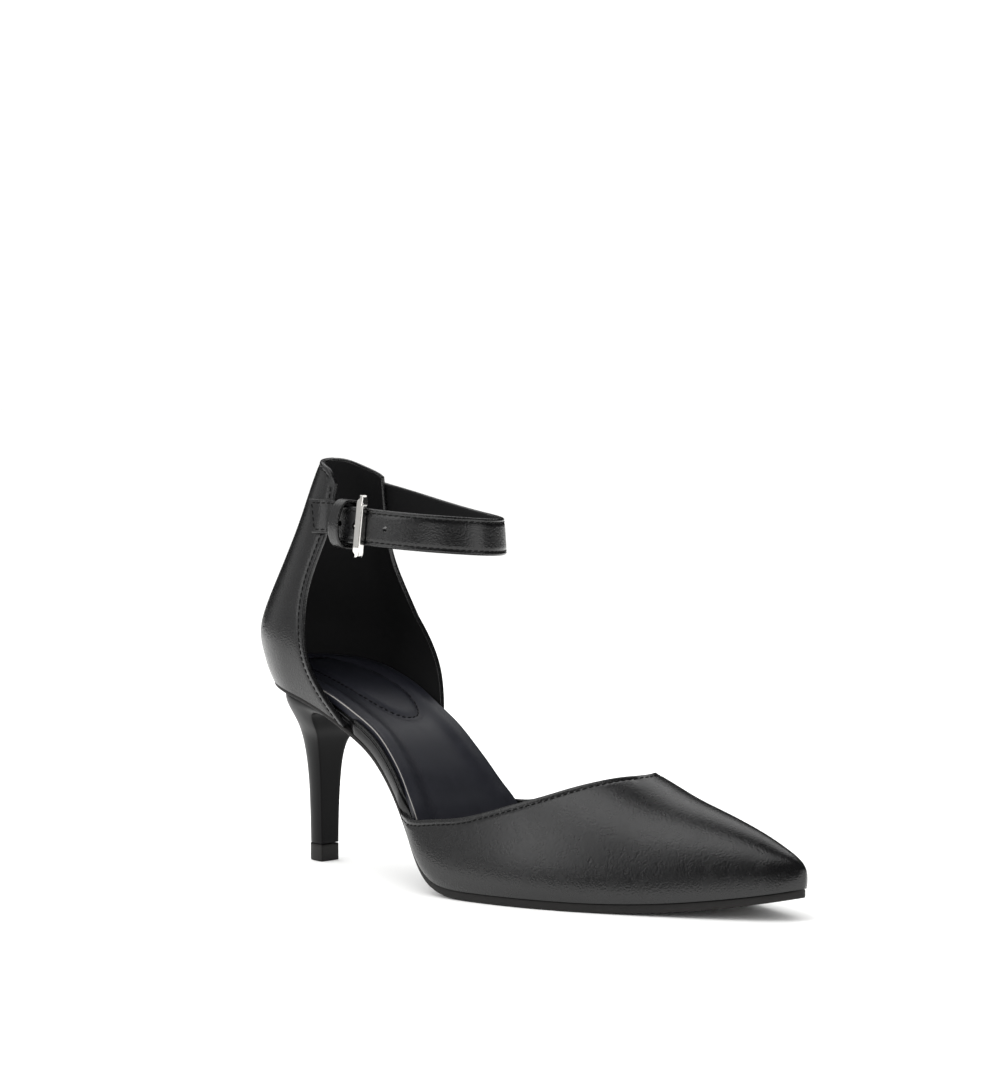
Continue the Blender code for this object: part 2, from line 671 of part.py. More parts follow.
def build_strap(route, bar):
    """The ankle strap with its punched holes."""
    section = band_section(STRAP_THICK / 2, STRAP_WIDTH / 2, STRAP_CORNER)
    stations = np.concatenate([
        np.linspace(0.0, route.length - STRAP_TIP, 64)[:-1],
        route.length - STRAP_TIP * np.cos(np.linspace(0.0, math.pi / 2, 6)),
    ])
    rings = []
    for s in stations:
        place, _, out, high = route.at(s)
        narrow = TIP_SHARE + (1.0 - TIP_SHARE) * float(closing(s, route.length - STRAP_TIP, route.length))
        rings.append([place + out * a + high * b * narrow for a, b in section])
    bm = bmesh.new()
    tube(bm, rings)
    strap = link_object("ankle_strap", bm, "leather")
    holes = [(route.find_x(x), HOLE_DIAMETER / 2) for x in OPEN_HOLES]
    holes.append((bar - PRONG_HOLE_AHEAD, PRONG_HOLE))
    for index, (s, radius) in enumerate(holes):
        place, _, out, _ = route.at(s)
        cut(strap, peg(f"hole_{index}", place, out, radius, STRAP_THICK * 3))


def build_tab(route, bar):
    """Leather tab on the quarter, folded round the heel bar."""
    outer = -(STRAP_THICK / 2 + GAP + TAB_THICK / 2)
    fold = BAR_RADIUS + GAP + TAB_THICK / 2
    hub = route.offset(bar, outer - fold)
    _, along, out, high = route.at(bar)
    path = []
    for behind in TAB_RETURN:
        close = float(ease(behind, *TAB_CLOSE))
        sink = outer - 2 * fold + (2 * fold - TAB_THICK - GAP) * close
        _, _, here_out, here_high = route.at(bar + behind)
        path.append((route.offset(bar + behind, sink), -here_out, here_high))
    for turn in np.linspace(math.pi, 0.0, 9):
        ray = out * math.cos(turn) - along * math.sin(turn)
        path.append((hub + ray * fold, ray, high))
    points = [route.offset(bar + behind, outer) for behind in TAB_LEAD]
    leans = [float(route.lean(bar))] * len(points)
    for x in TAB_STATIONS:
        place, lean = on_quarter(x, float(route.axes[2](bar)) + TAB_RISE, LATERAL, LAP_GAP + TAB_THICK / 2)
        points.append(place)
        leans.append(lean)
    lead = Route(points, leans)
    for s in np.linspace(0.0, lead.length, 24)[1:]:
        place, back, here_out, here_high = lead.at(s)
        slant = TAB_SKEW * float(ease(s, lead.length / 2, lead.length))
        path.append((place, here_out, here_high + back * slant))
    section = band_section(TAB_THICK / 2, TAB_WIDTH / 2, BAND_CORNER)
    bm = bmesh.new()
    tube(bm, [[place + ray * a + up * b for a, b in section] for place, ray, up in path])
    tab = link_object("buckle_tab", bm, "leather")
    reach = fold + TAB_THICK
    ends = []
    slot = PRONG_SLOT / 2
    for a in (-reach, reach):
        corners = ((-reach, -slot), (reach, -slot), (reach, slot), (-reach, slot))
        ends.append([hub + along * a + out * b + high * c for b, c in corners])
    bm = bmesh.new()
    tube(bm, ends)
    cut(tab, link_object("prong_slot", bm, "sole"))


def build_keeper(route, bar):
    """Loop round the tab and the strap's end, standing proud of them."""
    middle = bar + KEEPER_BACK
    _, along, out, high = route.at(middle)
    rings = []
    for turn in np.linspace(0.0, 2 * math.pi, 36, endpoint=False):
        power = 1.0 if math.cos(turn) > 0 else KEEPER_SQUARE
        reach = KEEPER_PROUD if math.cos(turn) > 0 else KEEPER_INSIDE
        outward = reach * math.copysign(abs(math.cos(turn)) ** power, math.cos(turn))
        up = KEEPER_HALF_HEIGHT * math.copysign(abs(math.sin(turn)) ** power, math.sin(turn))
        rings.append((outward, up))
    path = np.array(rings)
    ahead = np.roll(path, -1, axis=0) - np.roll(path, 1, axis=0)
    ahead = ahead / np.linalg.norm(ahead, axis=1)[:, None]
    section = band_section(KEEPER_THICK / 2, KEEPER_BAND / 2, BAND_CORNER)
    place = route.offset(middle, 0.0)
    loops = []
    for (outward, up), (da, db) in zip(path, ahead):
        ray = out * db - high * da
        loops.append([place + out * outward + high * up + ray * a + along * b for a, b in section])
    bm = bmesh.new()
    tube(bm, loops, closed=True)
    link_object("keeper_loop", bm, "leather")


def build_buckle(route, bar):
    """Frame with heel bar and front bar, and the prong through the strap's hole."""
    _, along, out, high = route.at(bar)
    hub_out = -(STRAP_THICK / 2 + 2 * GAP + TAB_THICK + BAR_RADIUS)
    front_out = STRAP_THICK / 2 + GAP + FRONT_BAR_DEEP
    hub = route.offset(bar, hub_out)
    forward = route.offset(bar - FRAME_LENGTH, front_out) - hub
    reach = np.linalg.norm(forward)
    forward = forward / reach
    sideways = np.cross(forward, high)
    corner_turns = np.linspace(0.0, math.pi / 2, 5)
    path = []
    far = reach - CORNER
    top = FRAME_HALF_HEIGHT - CORNER
    corners = ((CORNER, -top, 180), (far, -top, 270), (far, top, 0), (CORNER, top, 90))
    for a, b, degrees in corners:
        start = math.radians(degrees)
        for turn in corner_turns:
            ray = np.array([math.cos(start + turn), math.sin(start + turn)])
            path.append((a + CORNER * ray[0], b + CORNER * ray[1], ray))
    front_along = -route.at(bar - FRAME_LENGTH)[1]
    front_turn = math.atan2(np.dot(sideways, front_along), np.dot(forward, front_along))
    rings = []
    for a, b, ray in path:
        share = float(ease(a / reach, *FRONT_BAR_BLEND))
        wide = BAR_RADIUS + (FRONT_BAR_WIDE - BAR_RADIUS) * share
        deep = BAR_RADIUS + (FRONT_BAR_DEEP - BAR_RADIUS) * share
        power = 1.0 + (FRONT_BAR_POWER - 1.0) * share
        normal = forward * ray[0] + high * ray[1]
        turned = front_turn * float(ease(ray[0], *FRONT_BAR_TWIST))
        flat = normal * math.cos(turned) + sideways * math.sin(turned)
        face = sideways * math.cos(turned) - normal * math.sin(turned)
        centre = hub + forward * a + high * b
        ring = []
        for turn in np.linspace(0.0, 2 * math.pi, 12, endpoint=False) + math.pi / 12:
            c = math.copysign(abs(math.cos(turn)) ** power, math.cos(turn))
            s = math.copysign(abs(math.sin(turn)) ** power, math.sin(turn))
            ring.append(centre + flat * wide * c + face * deep * s)
        rings.append(ring)
    bm = bmesh.new()
    tube(bm, rings, closed=True)
    link_object("buckle_frame", bm, "metal")

    wrap = BAR_RADIUS + GAP + PRONG_RADIUS
    points = []
    for turn in np.linspace(-math.radians(PRONG_WRAP), 0.0, 12):
        points.append(hub + (out * math.cos(turn) + along * math.sin(turn)) * wrap)
    for row in PRONG:
        points.append(route.offset(bar - row.ahead, row.outward))
    prong = Route(points, [0.0] * len(points))
    rings = []
    for s in np.linspace(0.0, prong.length, 30):
        centre = np.array([axis(s) for axis in prong.axes], float)
        ahead = np.array([axis(s + 0.1) - axis(s - 0.1) for axis in prong.axes], float)
        ahead = ahead / np.linalg.norm(ahead)
        other = np.cross(ahead, high)
        other = other / np.linalg.norm(other)
        lift = np.cross(other, ahead)
        ring = []
        for turn in np.linspace(0.0, 2 * math.pi, 8, endpoint=False):
            ring.append(centre + (other * math.cos(turn) + lift * math.sin(turn)) * PRONG_RADIUS)
        rings.append(ring)
    bm = bmesh.new()
    tube(bm, rings)
    link_object("buckle_prong", bm, "metal")


def footprint_middle():
    """Middle of all the solids in plan."""
    bpy.context.view_layer.update()
    corners = []
    for item in bpy.data.objects:
        if item.type == "MESH" and not item.hide_render:
            corners += [item.matrix_world @ vertex.co for vertex in item.data.vertices]
    xs = [corner.x for corner in corners]
    ys = [corner.y for corner in corners]
    return (min(xs) + max(xs)) / 2, (min(ys) + max(ys)) / 2


for item in list(bpy.data.objects):
    bpy.data.objects.remove(item)
shoe = bpy.data.objects.new("shoe", None)
bpy.context.scene.collection.objects.link(shoe)
build_outsole()
build_insole_board()
build_sock()
build_vamp()
build_quarter()
build_heel()
ankle = strap_route()
heel_bar = ankle.find_x(BAR_X)
build_strap(ankle, heel_bar)
build_tab(ankle, heel_bar)
build_keeper(ankle, heel_bar)
build_buckle(ankle, heel_bar)
middle_x, middle_y = footprint_middle()
shoe.location = (-middle_x, -middle_y, 0.0)
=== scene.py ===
"""A right d'Orsay pump with an ankle strap, dressed over its solids: grained leather with folded and
stitched edges, a padded sock, a covered heel, a strap with punched holes and a polished buckle.

The shoe's own functions work in millimetres from the back of the shoe at floor level: +X to the toe,
-Y to the outer (lateral) side, +Z up. to_world moves points to the frame of the solids, in metres.
"""
from collections import namedtuple
import math

import bpy
import numpy as np
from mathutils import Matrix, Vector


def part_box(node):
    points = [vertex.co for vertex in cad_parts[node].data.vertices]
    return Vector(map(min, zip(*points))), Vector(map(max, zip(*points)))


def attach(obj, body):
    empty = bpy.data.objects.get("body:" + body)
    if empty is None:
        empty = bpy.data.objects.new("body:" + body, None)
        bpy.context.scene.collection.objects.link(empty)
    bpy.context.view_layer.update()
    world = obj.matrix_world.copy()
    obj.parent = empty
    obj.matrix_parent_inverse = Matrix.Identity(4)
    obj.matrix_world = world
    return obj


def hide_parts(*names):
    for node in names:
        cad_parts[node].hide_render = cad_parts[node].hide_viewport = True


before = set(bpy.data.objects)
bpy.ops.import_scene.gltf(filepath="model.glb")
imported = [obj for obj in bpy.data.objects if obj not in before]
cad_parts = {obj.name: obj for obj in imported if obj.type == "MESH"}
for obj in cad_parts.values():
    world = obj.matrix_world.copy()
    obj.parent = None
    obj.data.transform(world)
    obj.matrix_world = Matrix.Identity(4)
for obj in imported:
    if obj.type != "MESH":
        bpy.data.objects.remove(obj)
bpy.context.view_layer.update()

bl_info = {
    "name": "D'Orsay pump",
    "version": (1, 0, 0),
    "blender": (4, 5, 0),
    "location": "View3D > Sidebar > Pump",
    "description": "Builds the visible pieces of a right d'Orsay pump over its solids",
    "category": "Object",
}

MM = 0.001
LATERAL = -1
MEDIAL = 1


def table(columns, rows):
    """Rows of numbers with named columns."""
    row_of = namedtuple("Row", columns)
    return [row_of(*row) for row in rows]


# Driving dimensions of the last
SOLE_BACK = 1.7            # back end of the sole
SOLE_TOE = 238.0           # toe tip of the sole
TOE_Y = 7.4                # the toe tip lies on the inner side of the heel axis
SEAT_HALF = 25.3           # half-width of the round heel seat
SEAT_CENTRE = SOLE_BACK + SEAT_HALF
NOSE_START = 227.5         # x where the toe starts to close
FLAT_BACK = 126.0          # flat tread under the ball, back and front ends
FLAT_FRONT = 165.0
TOE_SPRING = 8.0           # height of the sole under the toe tip
VAMP_REAR = 88.5           # rear ends of the vamp's wings
THROAT = 171.0             # front of the vamp's opening
NOSE_OVERHANG = 0.6        # the toe of the upper stands this far past the sole
SWELL_HEIGHT = 9.0         # the vamp's sides swell most this far above the sole

# Thicknesses and gaps
GAP = 0.3
LAP_GAP = 0.5              # under a flat lap on the quarter's curved face
VAMP_WALL = 1.6
QUARTER_WALL = 2.0
SOLE_INSET = 0.5           # the sole's edge lies this far inside the upper
BOARD_RIM = 2.0            # lower, wide band of the insole board's rim
BOARD_LEDGE = 1.3          # upper, narrow band, set in from the rim
LEDGE_INSET = 0.9
BOARD_INSET = 2.7          # inside the upper's walls; in the open waist the rim comes out to the edge
RIM_INSET = 0.5
SOCK = 1.4
SEAT_SOCK_INSET = 1.7      # the sock's inset from the edge: in the seat, where the quarter swells out,
WAIST_SOCK_INSET = 2.6     # in the open waist,
TOE_SOCK_INSET = 4.7       # and under the vamp
SOCK_SEAT_END = 60.0       # x where the seat's inset has passed into the waist's
SOCK_UNDER_VAMP = (100.0, 150.0)   # x between which the sock draws in
SOCK_TOE_SHORT = 6.0       # the sock ends this far short of the board's toe
SOCK_EDGE = 1.4            # the sock's padded edges stand this far above its middle
SOCK_DIP_WIDTH = 24.0      # the dip fades out where the sock is narrower than this
# x where the board's rim starts to show on each side, is clear, and goes in again
RIM_SHOWN = {LATERAL: (53.0, 57.5, 84.3, 88.0), MEDIAL: (56.0, 60.5, 84.3, 88.0)}

# Plan of the shoe: half-widths from the heel axis, outsole thickness, swell of the vamp's two sides
PLAN = table("x lateral medial sole lateral_swell medial_swell", [
    (0.0, 25.3, 25.3, 1.3, 1.0, 1.0),
    (27.0, 25.3, 25.3, 1.3, 1.0, 1.0),
    (40.0, 25.2, 24.7, 1.3, 1.0, 1.0),
    (54.0, 24.9, 23.2, 1.3, 1.0, 1.0),
    (66.0, 25.2, 21.8, 1.3, 1.0, 1.0),
    (76.0, 26.9, 21.4, 1.3, 1.0, 1.0),
    (86.0, 30.0, 22.0, 1.3, 1.6, 1.0),
    (96.0, 34.0, 24.2, 1.5, 2.6, 1.2),
    (106.0, 37.0, 27.4, 2.2, 2.4, 1.6),
    (118.0, 38.3, 31.2, 2.9, 1.8, 1.8),
    (132.0, 38.0, 34.4, 3.0, 1.4, 1.8),
    (146.0, 36.4, 36.0, 3.0, 1.2, 1.6),
    (160.0, 33.2, 36.0, 3.0, 1.0, 1.4),
    (175.0, 28.2, 34.2, 3.0, 0.9, 1.2),
    (190.0, 22.1, 30.8, 2.9, 0.8, 1.0),
    (205.0, 15.2, 26.2, 2.8, 0.7, 0.8),
    (220.0, 7.6, 20.6, 2.7, 0.6, 0.6),
    (230.0, 2.4, 16.6, 2.6, 0.5, 0.5),
    (240.0, -2.6, 12.4, 2.6, 0.5, 0.5),
])

# Underside of the sole from the heel seat down the arch to the flat tread
ARCH = table("x z", [
    (0.0, 67.6),
    (14.0, 65.4),
    (28.0, 62.0),
    (42.0, 57.0),
    (54.0, 51.1),
    (64.0, 45.2),
    (74.0, 36.7),
    (80.0, 30.6),
    (86.0, 23.8),
    (91.0, 17.9),
    (96.0, 11.8),
    (102.0, 6.0),
    (108.0, 2.6),
    (116.0, 0.6),
    (126.0, 0.0),
    (140.0, 0.0),
])

# Ridge of the vamp; behind the throat it is the line of the instep that the wings would close over
RIDGE = table("x y z", [
    (80.0, -3.0, 84.0),
    (110.0, -1.0, 69.0),
    (140.0, 1.5, 56.0),
    (160.0, 3.2, 48.2),
    (173.5, 4.2, 43.0),
    (185.0, 5.0, 38.5),
    (200.0, 5.9, 34.0),
    (212.0, 6.5, 30.3),
    (222.0, 6.9, 26.7),
    (230.0, 7.2, 23.2),
    (235.0, 7.3, 20.6),
    (238.0, 7.4, 18.2),
])

# Topline of the vamp from the throat (step 0) to the rear corners (step 1): share of the side it climbs
TOPLINE = table("step lateral medial", [
    (0.0, 1.0, 1.0),
    (0.1, 0.915, 0.915),
    (0.2, 0.823, 0.823),
    (0.3, 0.715, 0.715),
    (0.4, 0.605, 0.605),
    (0.5, 0.497, 0.502),
    (0.6, 0.406, 0.420),
    (0.7, 0.323, 0.352),
    (0.8, 0.256, 0.292),
    (0.9, 0.187, 0.212),
    (1.0, 0.035, 0.035),
])

# Quarter from the feather line (level 0) to its top edge (level 1)
QUARTER = table("level back half lateral_front medial_front", [
    (0.0, 1.7, 25.3, 52.4, 55.5),
    (0.05, -0.2, 26.8, 46.4, 54.2),
    (0.1, -1.4, 28.0, 42.4, 52.6),
    (0.2, -3.0, 29.4, 37.6, 49.0),
    (0.32, -0.6, 28.8, 35.2, 43.0),
    (0.46, 4.4, 26.2, 34.1, 35.4),
    (0.6, 9.4, 22.8, 35.2, 31.4),
    (0.74, 14.0, 19.4, 37.2, 31.8),
    (0.88, 18.2, 16.8, 38.4, 33.0),
    (1.0, 22.4, 15.2, 38.8, 33.8),
])

# Top edge of the quarter on its two sides, falling from the back and rounded at the front corners
TOP_EDGE = table("x lateral medial", [
    (16.0, 148.0, 148.0),
    (22.0, 147.8, 147.8),
    (26.0, 147.2, 145.3),
    (30.0, 146.3, 143.0),
    (33.0, 145.3, 141.3),
    (36.0, 143.6, 138.7),
    (39.0, 139.4, 135.2),
])

# Heel from the seat down: heights at the back and at the breast, its D-shaped plan, and how far
# each section follows the curve of the sole above it
HeelRow = namedtuple("HeelRow", "back_z breast_z back breast half fullness follow")
HEEL = [
    HeelRow(64.6, 52.0, 4.8, 49.6, 21.2, 2.5, 1.0),
    HeelRow(62.2, 55.8, 5.3, 40.0, 20.2, 2.5, 1.0),
    HeelRow(58.6, 56.2, 5.8, 28.9, 17.5, 2.3, 0.6),
    HeelRow(53.4, 50.8, 6.6, 25.4, 12.9, 2.1, 0.2),
    HeelRow(47.4, 46.0, 7.6, 22.6, 8.7, 2.0, 0.0),
    HeelRow(40.0, 39.6, 9.0, 21.0, 6.4, 2.0, 0.0),
    HeelRow(30.0, 30.0, 10.2, 20.4, 5.2, 2.0, 0.0),
    HeelRow(18.0, 18.0, 10.7, 20.1, 4.6, 2.0, 0.0),
    HeelRow(6.6, 6.6, 10.9, 20.0, 4.35, 2.0, 0.0),
]
# The seat, whose heights are the sole's
HEEL_TOP = HeelRow(None, None, 4.2, 51.0, 22.8, 2.6, 1.0)
TOP_PIECE_HEIGHT = 6.3
TOP_PIECE_GROW = 0.15      # the top piece stands this far past the heel tip

# Ankle strap: its lap on the inner side of the quarter, then the route of its middle line
STRAP_WIDTH = 13.2
STRAP_THICK = 2.2
STRAP_TIP = 5.0            # length of the rounded tip
TIP_SHARE = 0.45           # width left at the tip's end
LAP = table("x z", [(24.5, 133.2), (28.5, 132.4), (32.5, 131.4)])
STRAP_ROUTE = table("x y z lean", [
    (44.0, 22.4, 128.5, 9.0),
    (57.0, 24.2, 125.6, 6.0),
    (72.0, 23.2, 123.3, 4.0),
    (87.0, 18.4, 122.2, 4.0),
    (97.0, 10.6, 122.0, 4.0),
    (101.2, 0.0, 122.4, 4.0),
    (97.0, -11.3, 123.3, 4.0),
    (87.0, -20.2, 124.3, 4.0),
    (73.0, -25.4, 125.3, 4.0),
    (60.0, -26.8, 126.1, 4.5),
    (49.5, -25.8, 126.6, 5.5),
])
HOLE_DIAMETER = 2.0
OPEN_HOLES = (54.2, 74.8)  # x of the open holes on the outer run

# Buckle: distances along the strap are from the heel bar towards the front
BAR_X = 60.2               # x of the heel bar
BAR_RADIUS = 1.0
TAB_THICK = 1.1
TAB_WIDTH = 12.4
TAB_STATIONS = (38.5, 35.0, 31.0)        # x of the tab's rear part, which lies on the quarter
TAB_LEAD = (0.0, 5.0, 10.0)              # distances behind the bar, where it lies under the strap
TAB_RETURN = (9.0, 0.6)    # folded-back layer: its end and the start of the fold, behind the bar
TAB_CLOSE = (0.4, 2.6)     # behind the bar, the two layers close up between these distances
TAB_SKEW = 0.4             # the tab's rear end is cut at a slant
TAB_RISE = 1.6             # the tab climbs this far from the bar to the quarter
FRAME_HALF_HEIGHT = 9.7
FRAME_LENGTH = 5.4         # heel bar to front bar
FRONT_BAR_WIDE = 1.5       # half-width of the flat front bar along the strap
FRONT_BAR_DEEP = 1.4       # its half-thickness
FRONT_BAR_POWER = 0.3      # squares its section; 1 is round
FRONT_BAR_BLEND = (0.3, 0.65)   # shares of the frame's length between which the arms widen into it
FRONT_BAR_TWIST = (0.1, 0.9)    # part of each corner over which the section turns flat to the strap
CORNER = 2.4
PRONG_RADIUS = 0.6
PRONG_HOLE = 1.7           # radius of the worn hole that the prong stands in
PRONG_HOLE_AHEAD = 2.0     # that hole lies this far in front of the heel bar
PRONG_WRAP = 225.0         # degrees that the prong's hook turns round the heel bar
PRONG = table("ahead outward", [(1.5, -1.0), (1.9, 0.5), (2.4, 1.6), (2.85, 1.9)])
PRONG_SLOT = 2.6           # height of the slot in the tab's fold
KEEPER_BACK = 5.6          # middle of the keeper, behind the heel bar
KEEPER_BAND = 5.4
KEEPER_THICK = 1.2
KEEPER_HALF_HEIGHT = 8.2
KEEPER_PROUD = 4.6         # outward reach from the strap's middle
KEEPER_INSIDE = 5.0        # inward reach
KEEPER_SQUARE = 0.4        # power that squares the inner half of the loop against the tab

# Rims of the sole's layers from the bottom up: share of the width from the outer side, height, inset,
# and for the board how far the row stands up in the open waist, and whether it is ribbed
RingRow = namedtuple("RingRow", "across high inset rise ribbed", defaults=(0.0, False))
SOLE_RIM_ROWS = [
    RingRow(1.0, 0.0, 0.5),
    RingRow(1.0, 0.08, 0.15),
    RingRow(1.0, 0.2, 0.0),
    RingRow(1.0, 0.82, 0.0),
    RingRow(1.0, 0.94, 0.1),
    RingRow(1.0, 1.0, 0.35),
]
# The board's heights are in millimetres: flat rim band, crease, ribbed tape, flat top
RIB_RISE = 1.2             # most that the rows stand up in the open waist
BOARD_RIM_ROWS = [
    RingRow(1.0, 0.0, 0.35),
    RingRow(1.0, 0.1, 0.1),
    RingRow(1.0, 0.3, 0.0),
    RingRow(1.0, 1.2, 0.03, 0.4),
    RingRow(1.0, 2.0, 0.06, 0.75),
    RingRow(1.0, 2.2, 0.12, 0.78),
    RingRow(1.0, 2.32, 0.3, 0.78),
    RingRow(1.0, 2.3, 0.85, 0.78),
    RingRow(1.0, 2.42, 0.98, 0.8),
    RingRow(1.0, 2.55, 0.86, 0.84, True),
    RingRow(1.0, 2.75, 0.8, 0.88, True),
    RingRow(1.0, 3.1, 0.8, 0.96, True),
    RingRow(1.0, 3.25, 0.9, 1.0, True),
    RingRow(1.0, 3.3, 1.2, 1.0, True),
    RingRow(1.0, 3.3, 1.6, 1.0, True),
    RingRow(1.0, 3.3, 1.75, 0.0),
]


def whole_ring(rim):
    """A layer's section once round: underside, inner rim, top, and the same rim on the outer side."""
    under = [RingRow(0.3, 0.0, 0.0), RingRow(0.7, 0.0, 0.0)]
    over = [RingRow(0.7, rim[-1].high, 0.0), RingRow(0.3, rim[-1].high, 0.0)]
    outer = [row._replace(across=0.0) for row in rim[::-1]]
    return outer[-1:] + under + rim + over + outer


SOLE_RING = whole_ring(SOLE_RIM_ROWS)
BOARD_RING = whole_ring(BOARD_RIM_ROWS)

VAMP_COLUMNS = 120         # the vamp's grid on each side
VAMP_ROWS = 44
QUARTER_COLUMNS = 100
QUARTER_ROWS = 64
WING_SHARE = 0.55          # share of the vamp's columns behind the throat
EDGE_CROWD = 1.6           # power that crowds rows towards the folded edges
SOCK_TOP_SHARE = 0.86      # share of the sock's rows on its top
SOCK_ROWS = 86             # faces once round the sock
HIGHLIGHT_ROW = 2                # row of faces, from the sock's edge, painted light grey as a painted highlight along its top edge
SOCK_ROLL = 0.9            # width of the sock's rolled edge, and the power that squares it
SOCK_SQUARE = 4.0
CREST_IN = 5.0             # the padded edges swell most this far in
CREST_WIDTH = 3.4
CREST_RISE = 0.9
PadRow = namedtuple("PadRow", "x y half_length half_width power")
HEEL_PAD = PadRow(33.0, 3.0, 26.5, 11.4, 2.3)
PAD_GROOVE = 0.4           # depth and half-width of the stitched groove round the pad
PAD_GROOVE_WIDTH = 0.9
SOLE_FILL = 0.2            # the sole's top swells this far into the joint under the upper
HEEL_LIP = 0.25            # the heel's cover stands out in a thin lip under the seat
BREAST_SHARE = 0.8         # share of the heel's rows round its back
STRAP_STITCH_INSET = 1.5
TAB_STITCH_INSET = 1.4
SMOOTH_ANGLE = 50.0        # edges that turn by fewer degrees are shaded smooth; the uppers and round parts
UPPER_ANGLE = 40.0
ROUND_ANGLE = 60.0
HEEL_GRID = (108, 64)      # columns and rows of the smaller pieces
TOP_PIECE_GRID = (6, 48)
STRAP_GRID = (300, 56)
TAB_ROWS = 36
KEEPER_GRID = (120, 28)
FRAME_ROWS = 32
PRONG_GRID = (90, 16)
STITCH_GRID = (8, 6)
STITCH_BLUNT = 0.6         # power that squares a stitch's ends
STITCH_SLANT = 0.09        # each stitch lies slightly across its line
STITCH_FLAT = 0.8          # its height as a share of the thread, and how far it is lifted
STITCH_LIFT = 0.08
CHANNEL_WIDTH = 0.6        # half-width of the channel that the stitches pull into the leather
RIM_ROWS = 8               # rows of faces round a folded edge
THIN_NOSE = 0.08           # least share of the vamp's wall at the toe tip
SEAM_SHARES = (0.015, 0.985)   # the quarter's front seams run between these levels
SOLE_COLUMNS = 220         # stations along the sole and the board, and along the sock
SOCK_COLUMNS = 340
SLIM_WIDTH = 8.0           # a layer's rounded edges fade out where it is narrower than this
SOCK_DIP_POWER = 4         # powers that shape the sock's dip and the shoulder of its pad
PAD_SHOULDER = 6
PAD_CROWN = 0.3            # share of the pad's height that falls from its middle to its edge
LIP_ROW = 0.22             # the lip's place and half-height under the seat, in rows of the heel's table
LIP_ROWS = 0.16
BEVEL_ANGLE = 48.0         # edges that turn by more degrees than this are rounded
STRAP_ROLL = 0.9           # rounding of the strap's edges, and of the tab's and keeper's
BAND_ROLL = 0.5
STRAP_MIDDLE = (62.0, 0.0, 124.0)   # a point inside the strap's loop
LINED_SHARE = 0.6          # faces of the strap that look this much towards it are lined
STRAP_SEAM_ENDS = (1.5, 0.5)   # the strap's seams stop this far short of its lap and its tip
TAB_BACK_POINTS = 24       # points along the tab's folded-back layer, round its fold and along the rest
TAB_FOLD_POINTS = 17
TAB_LEAD_POINTS = 60
TAB_SEAM_START = 4         # the tab's seams start this many points behind the fold
CORNER_POINTS = 12         # points round each corner of the buckle's frame, and round the prong's hook
COVER_GRAIN = 0.9          # pebble of the smooth cover leather, and of the sock's leather
SOCK_GRAIN = 0.45
RIB_WIDTH = 0.8            # one rib of the edging tape, and the gap beside it
WAVE_BANDS = 20.0          # radians that the wave pattern turns in one unit of its coordinates
SLOPE_STEP = 0.2           # half-step over which slopes and directions are measured
EDGE_MARGIN = 0.012        # normals are measured this share of a surface inside its edges
TURN_MARGIN = 0.985        # the same, as the largest turn round the quarter
NOSE_MARGIN = 0.6          # and as a distance from the toe tip
ROUTE_END = 0.3            # a route runs straight from this far inside its ends

# Camera fitted to the picture, in shoe millimetres, radians and pixels
IMAGE_WIDTH = 999
IMAGE_HEIGHT = 1079
SENSOR = 36.0
CAMERA_TARGET = (122.267, -0.64, 71.812)
CAMERA_AZIMUTH = 0.75049
CAMERA_ELEVATION = 0.1001
CAMERA_DISTANCE = 1450.0
CAMERA_FOCUS = 4161.1      # focal length in pixels
CAMERA_CENTRE = (533.0, 685.0)
CAMERA_NEAR = 10.0
FLOOR_SIZE = 8.0           # metres

# Soft boxes aimed at the shoe: bearing round it and height in degrees, distance and size, brightness
LAMPS = table("name bearing rise distance width height watts", [
    ("left_box", -51.0, 23.0, 1300.0, 1900.0, 1050.0, 3.8),
    ("left_fill", -13.0, 34.0, 1300.0, 620.0, 1250.0, 4.5),
    ("front_strip", 27.0, 5.0, 1300.0, 460.0, 260.0, 0.7),
    ("right_box", 92.0, 8.0, 1300.0, 700.0, 700.0, 2.4),
    ("top_box", -20.0, 72.0, 1200.0, 900.0, 650.0, 4.0),
    ("back_box", -128.0, 50.0, 1300.0, 1700.0, 900.0, 6.4),
])
OPEN_LIGHT = 1.16          # white surroundings that light the floor
MIRRORED_LIGHT = 0.03      # the dark room that the gloss mirrors

# From the back of the shoe to the origin of the solids
SHIFT = np.array([
    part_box("outsole")[0][0] / MM - SOLE_BACK - SOLE_INSET,
    (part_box("top_piece")[0][1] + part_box("top_piece")[1][1]) / 2 / MM,
    0.0,
])


def spline(xs, ys):
    """Natural cubic spline through a short table."""
    xs = np.asarray(xs, float)
    ys = np.asarray(ys, float)
    count = len(xs)
    step = np.diff(xs)
    system = np.eye(count)
    right = np.zeros(count)
    for i in range(1, count - 1):
        system[i, i - 1:i + 2] = step[i - 1], 2 * (step[i - 1] + step[i]), step[i]
        right[i] = 6 * ((ys[i + 1] - ys[i]) / step[i] - (ys[i] - ys[i - 1]) / step[i - 1])
    bend = np.linalg.solve(system, right)

    def at(x):
        x = np.clip(np.asarray(x, float), xs[0], xs[-1])
        k = np.clip(np.searchsorted(xs, x) - 1, 0, count - 2)
        before = x - xs[k]
        after = xs[k + 1] - x
        cubic = (bend[k] * after ** 3 + bend[k + 1] * before ** 3) / (6 * step[k])
        low = (ys[k] / step[k] - bend[k] * step[k] / 6) * after
        high = (ys[k + 1] / step[k] - bend[k + 1] * step[k] / 6) * before
        return cubic + low + high

    return at


def column(rows, key, value):
    """A table's column as a smooth function of another column."""
    return spline([getattr(row, key) for row in rows], [getattr(row, value) for row in rows])


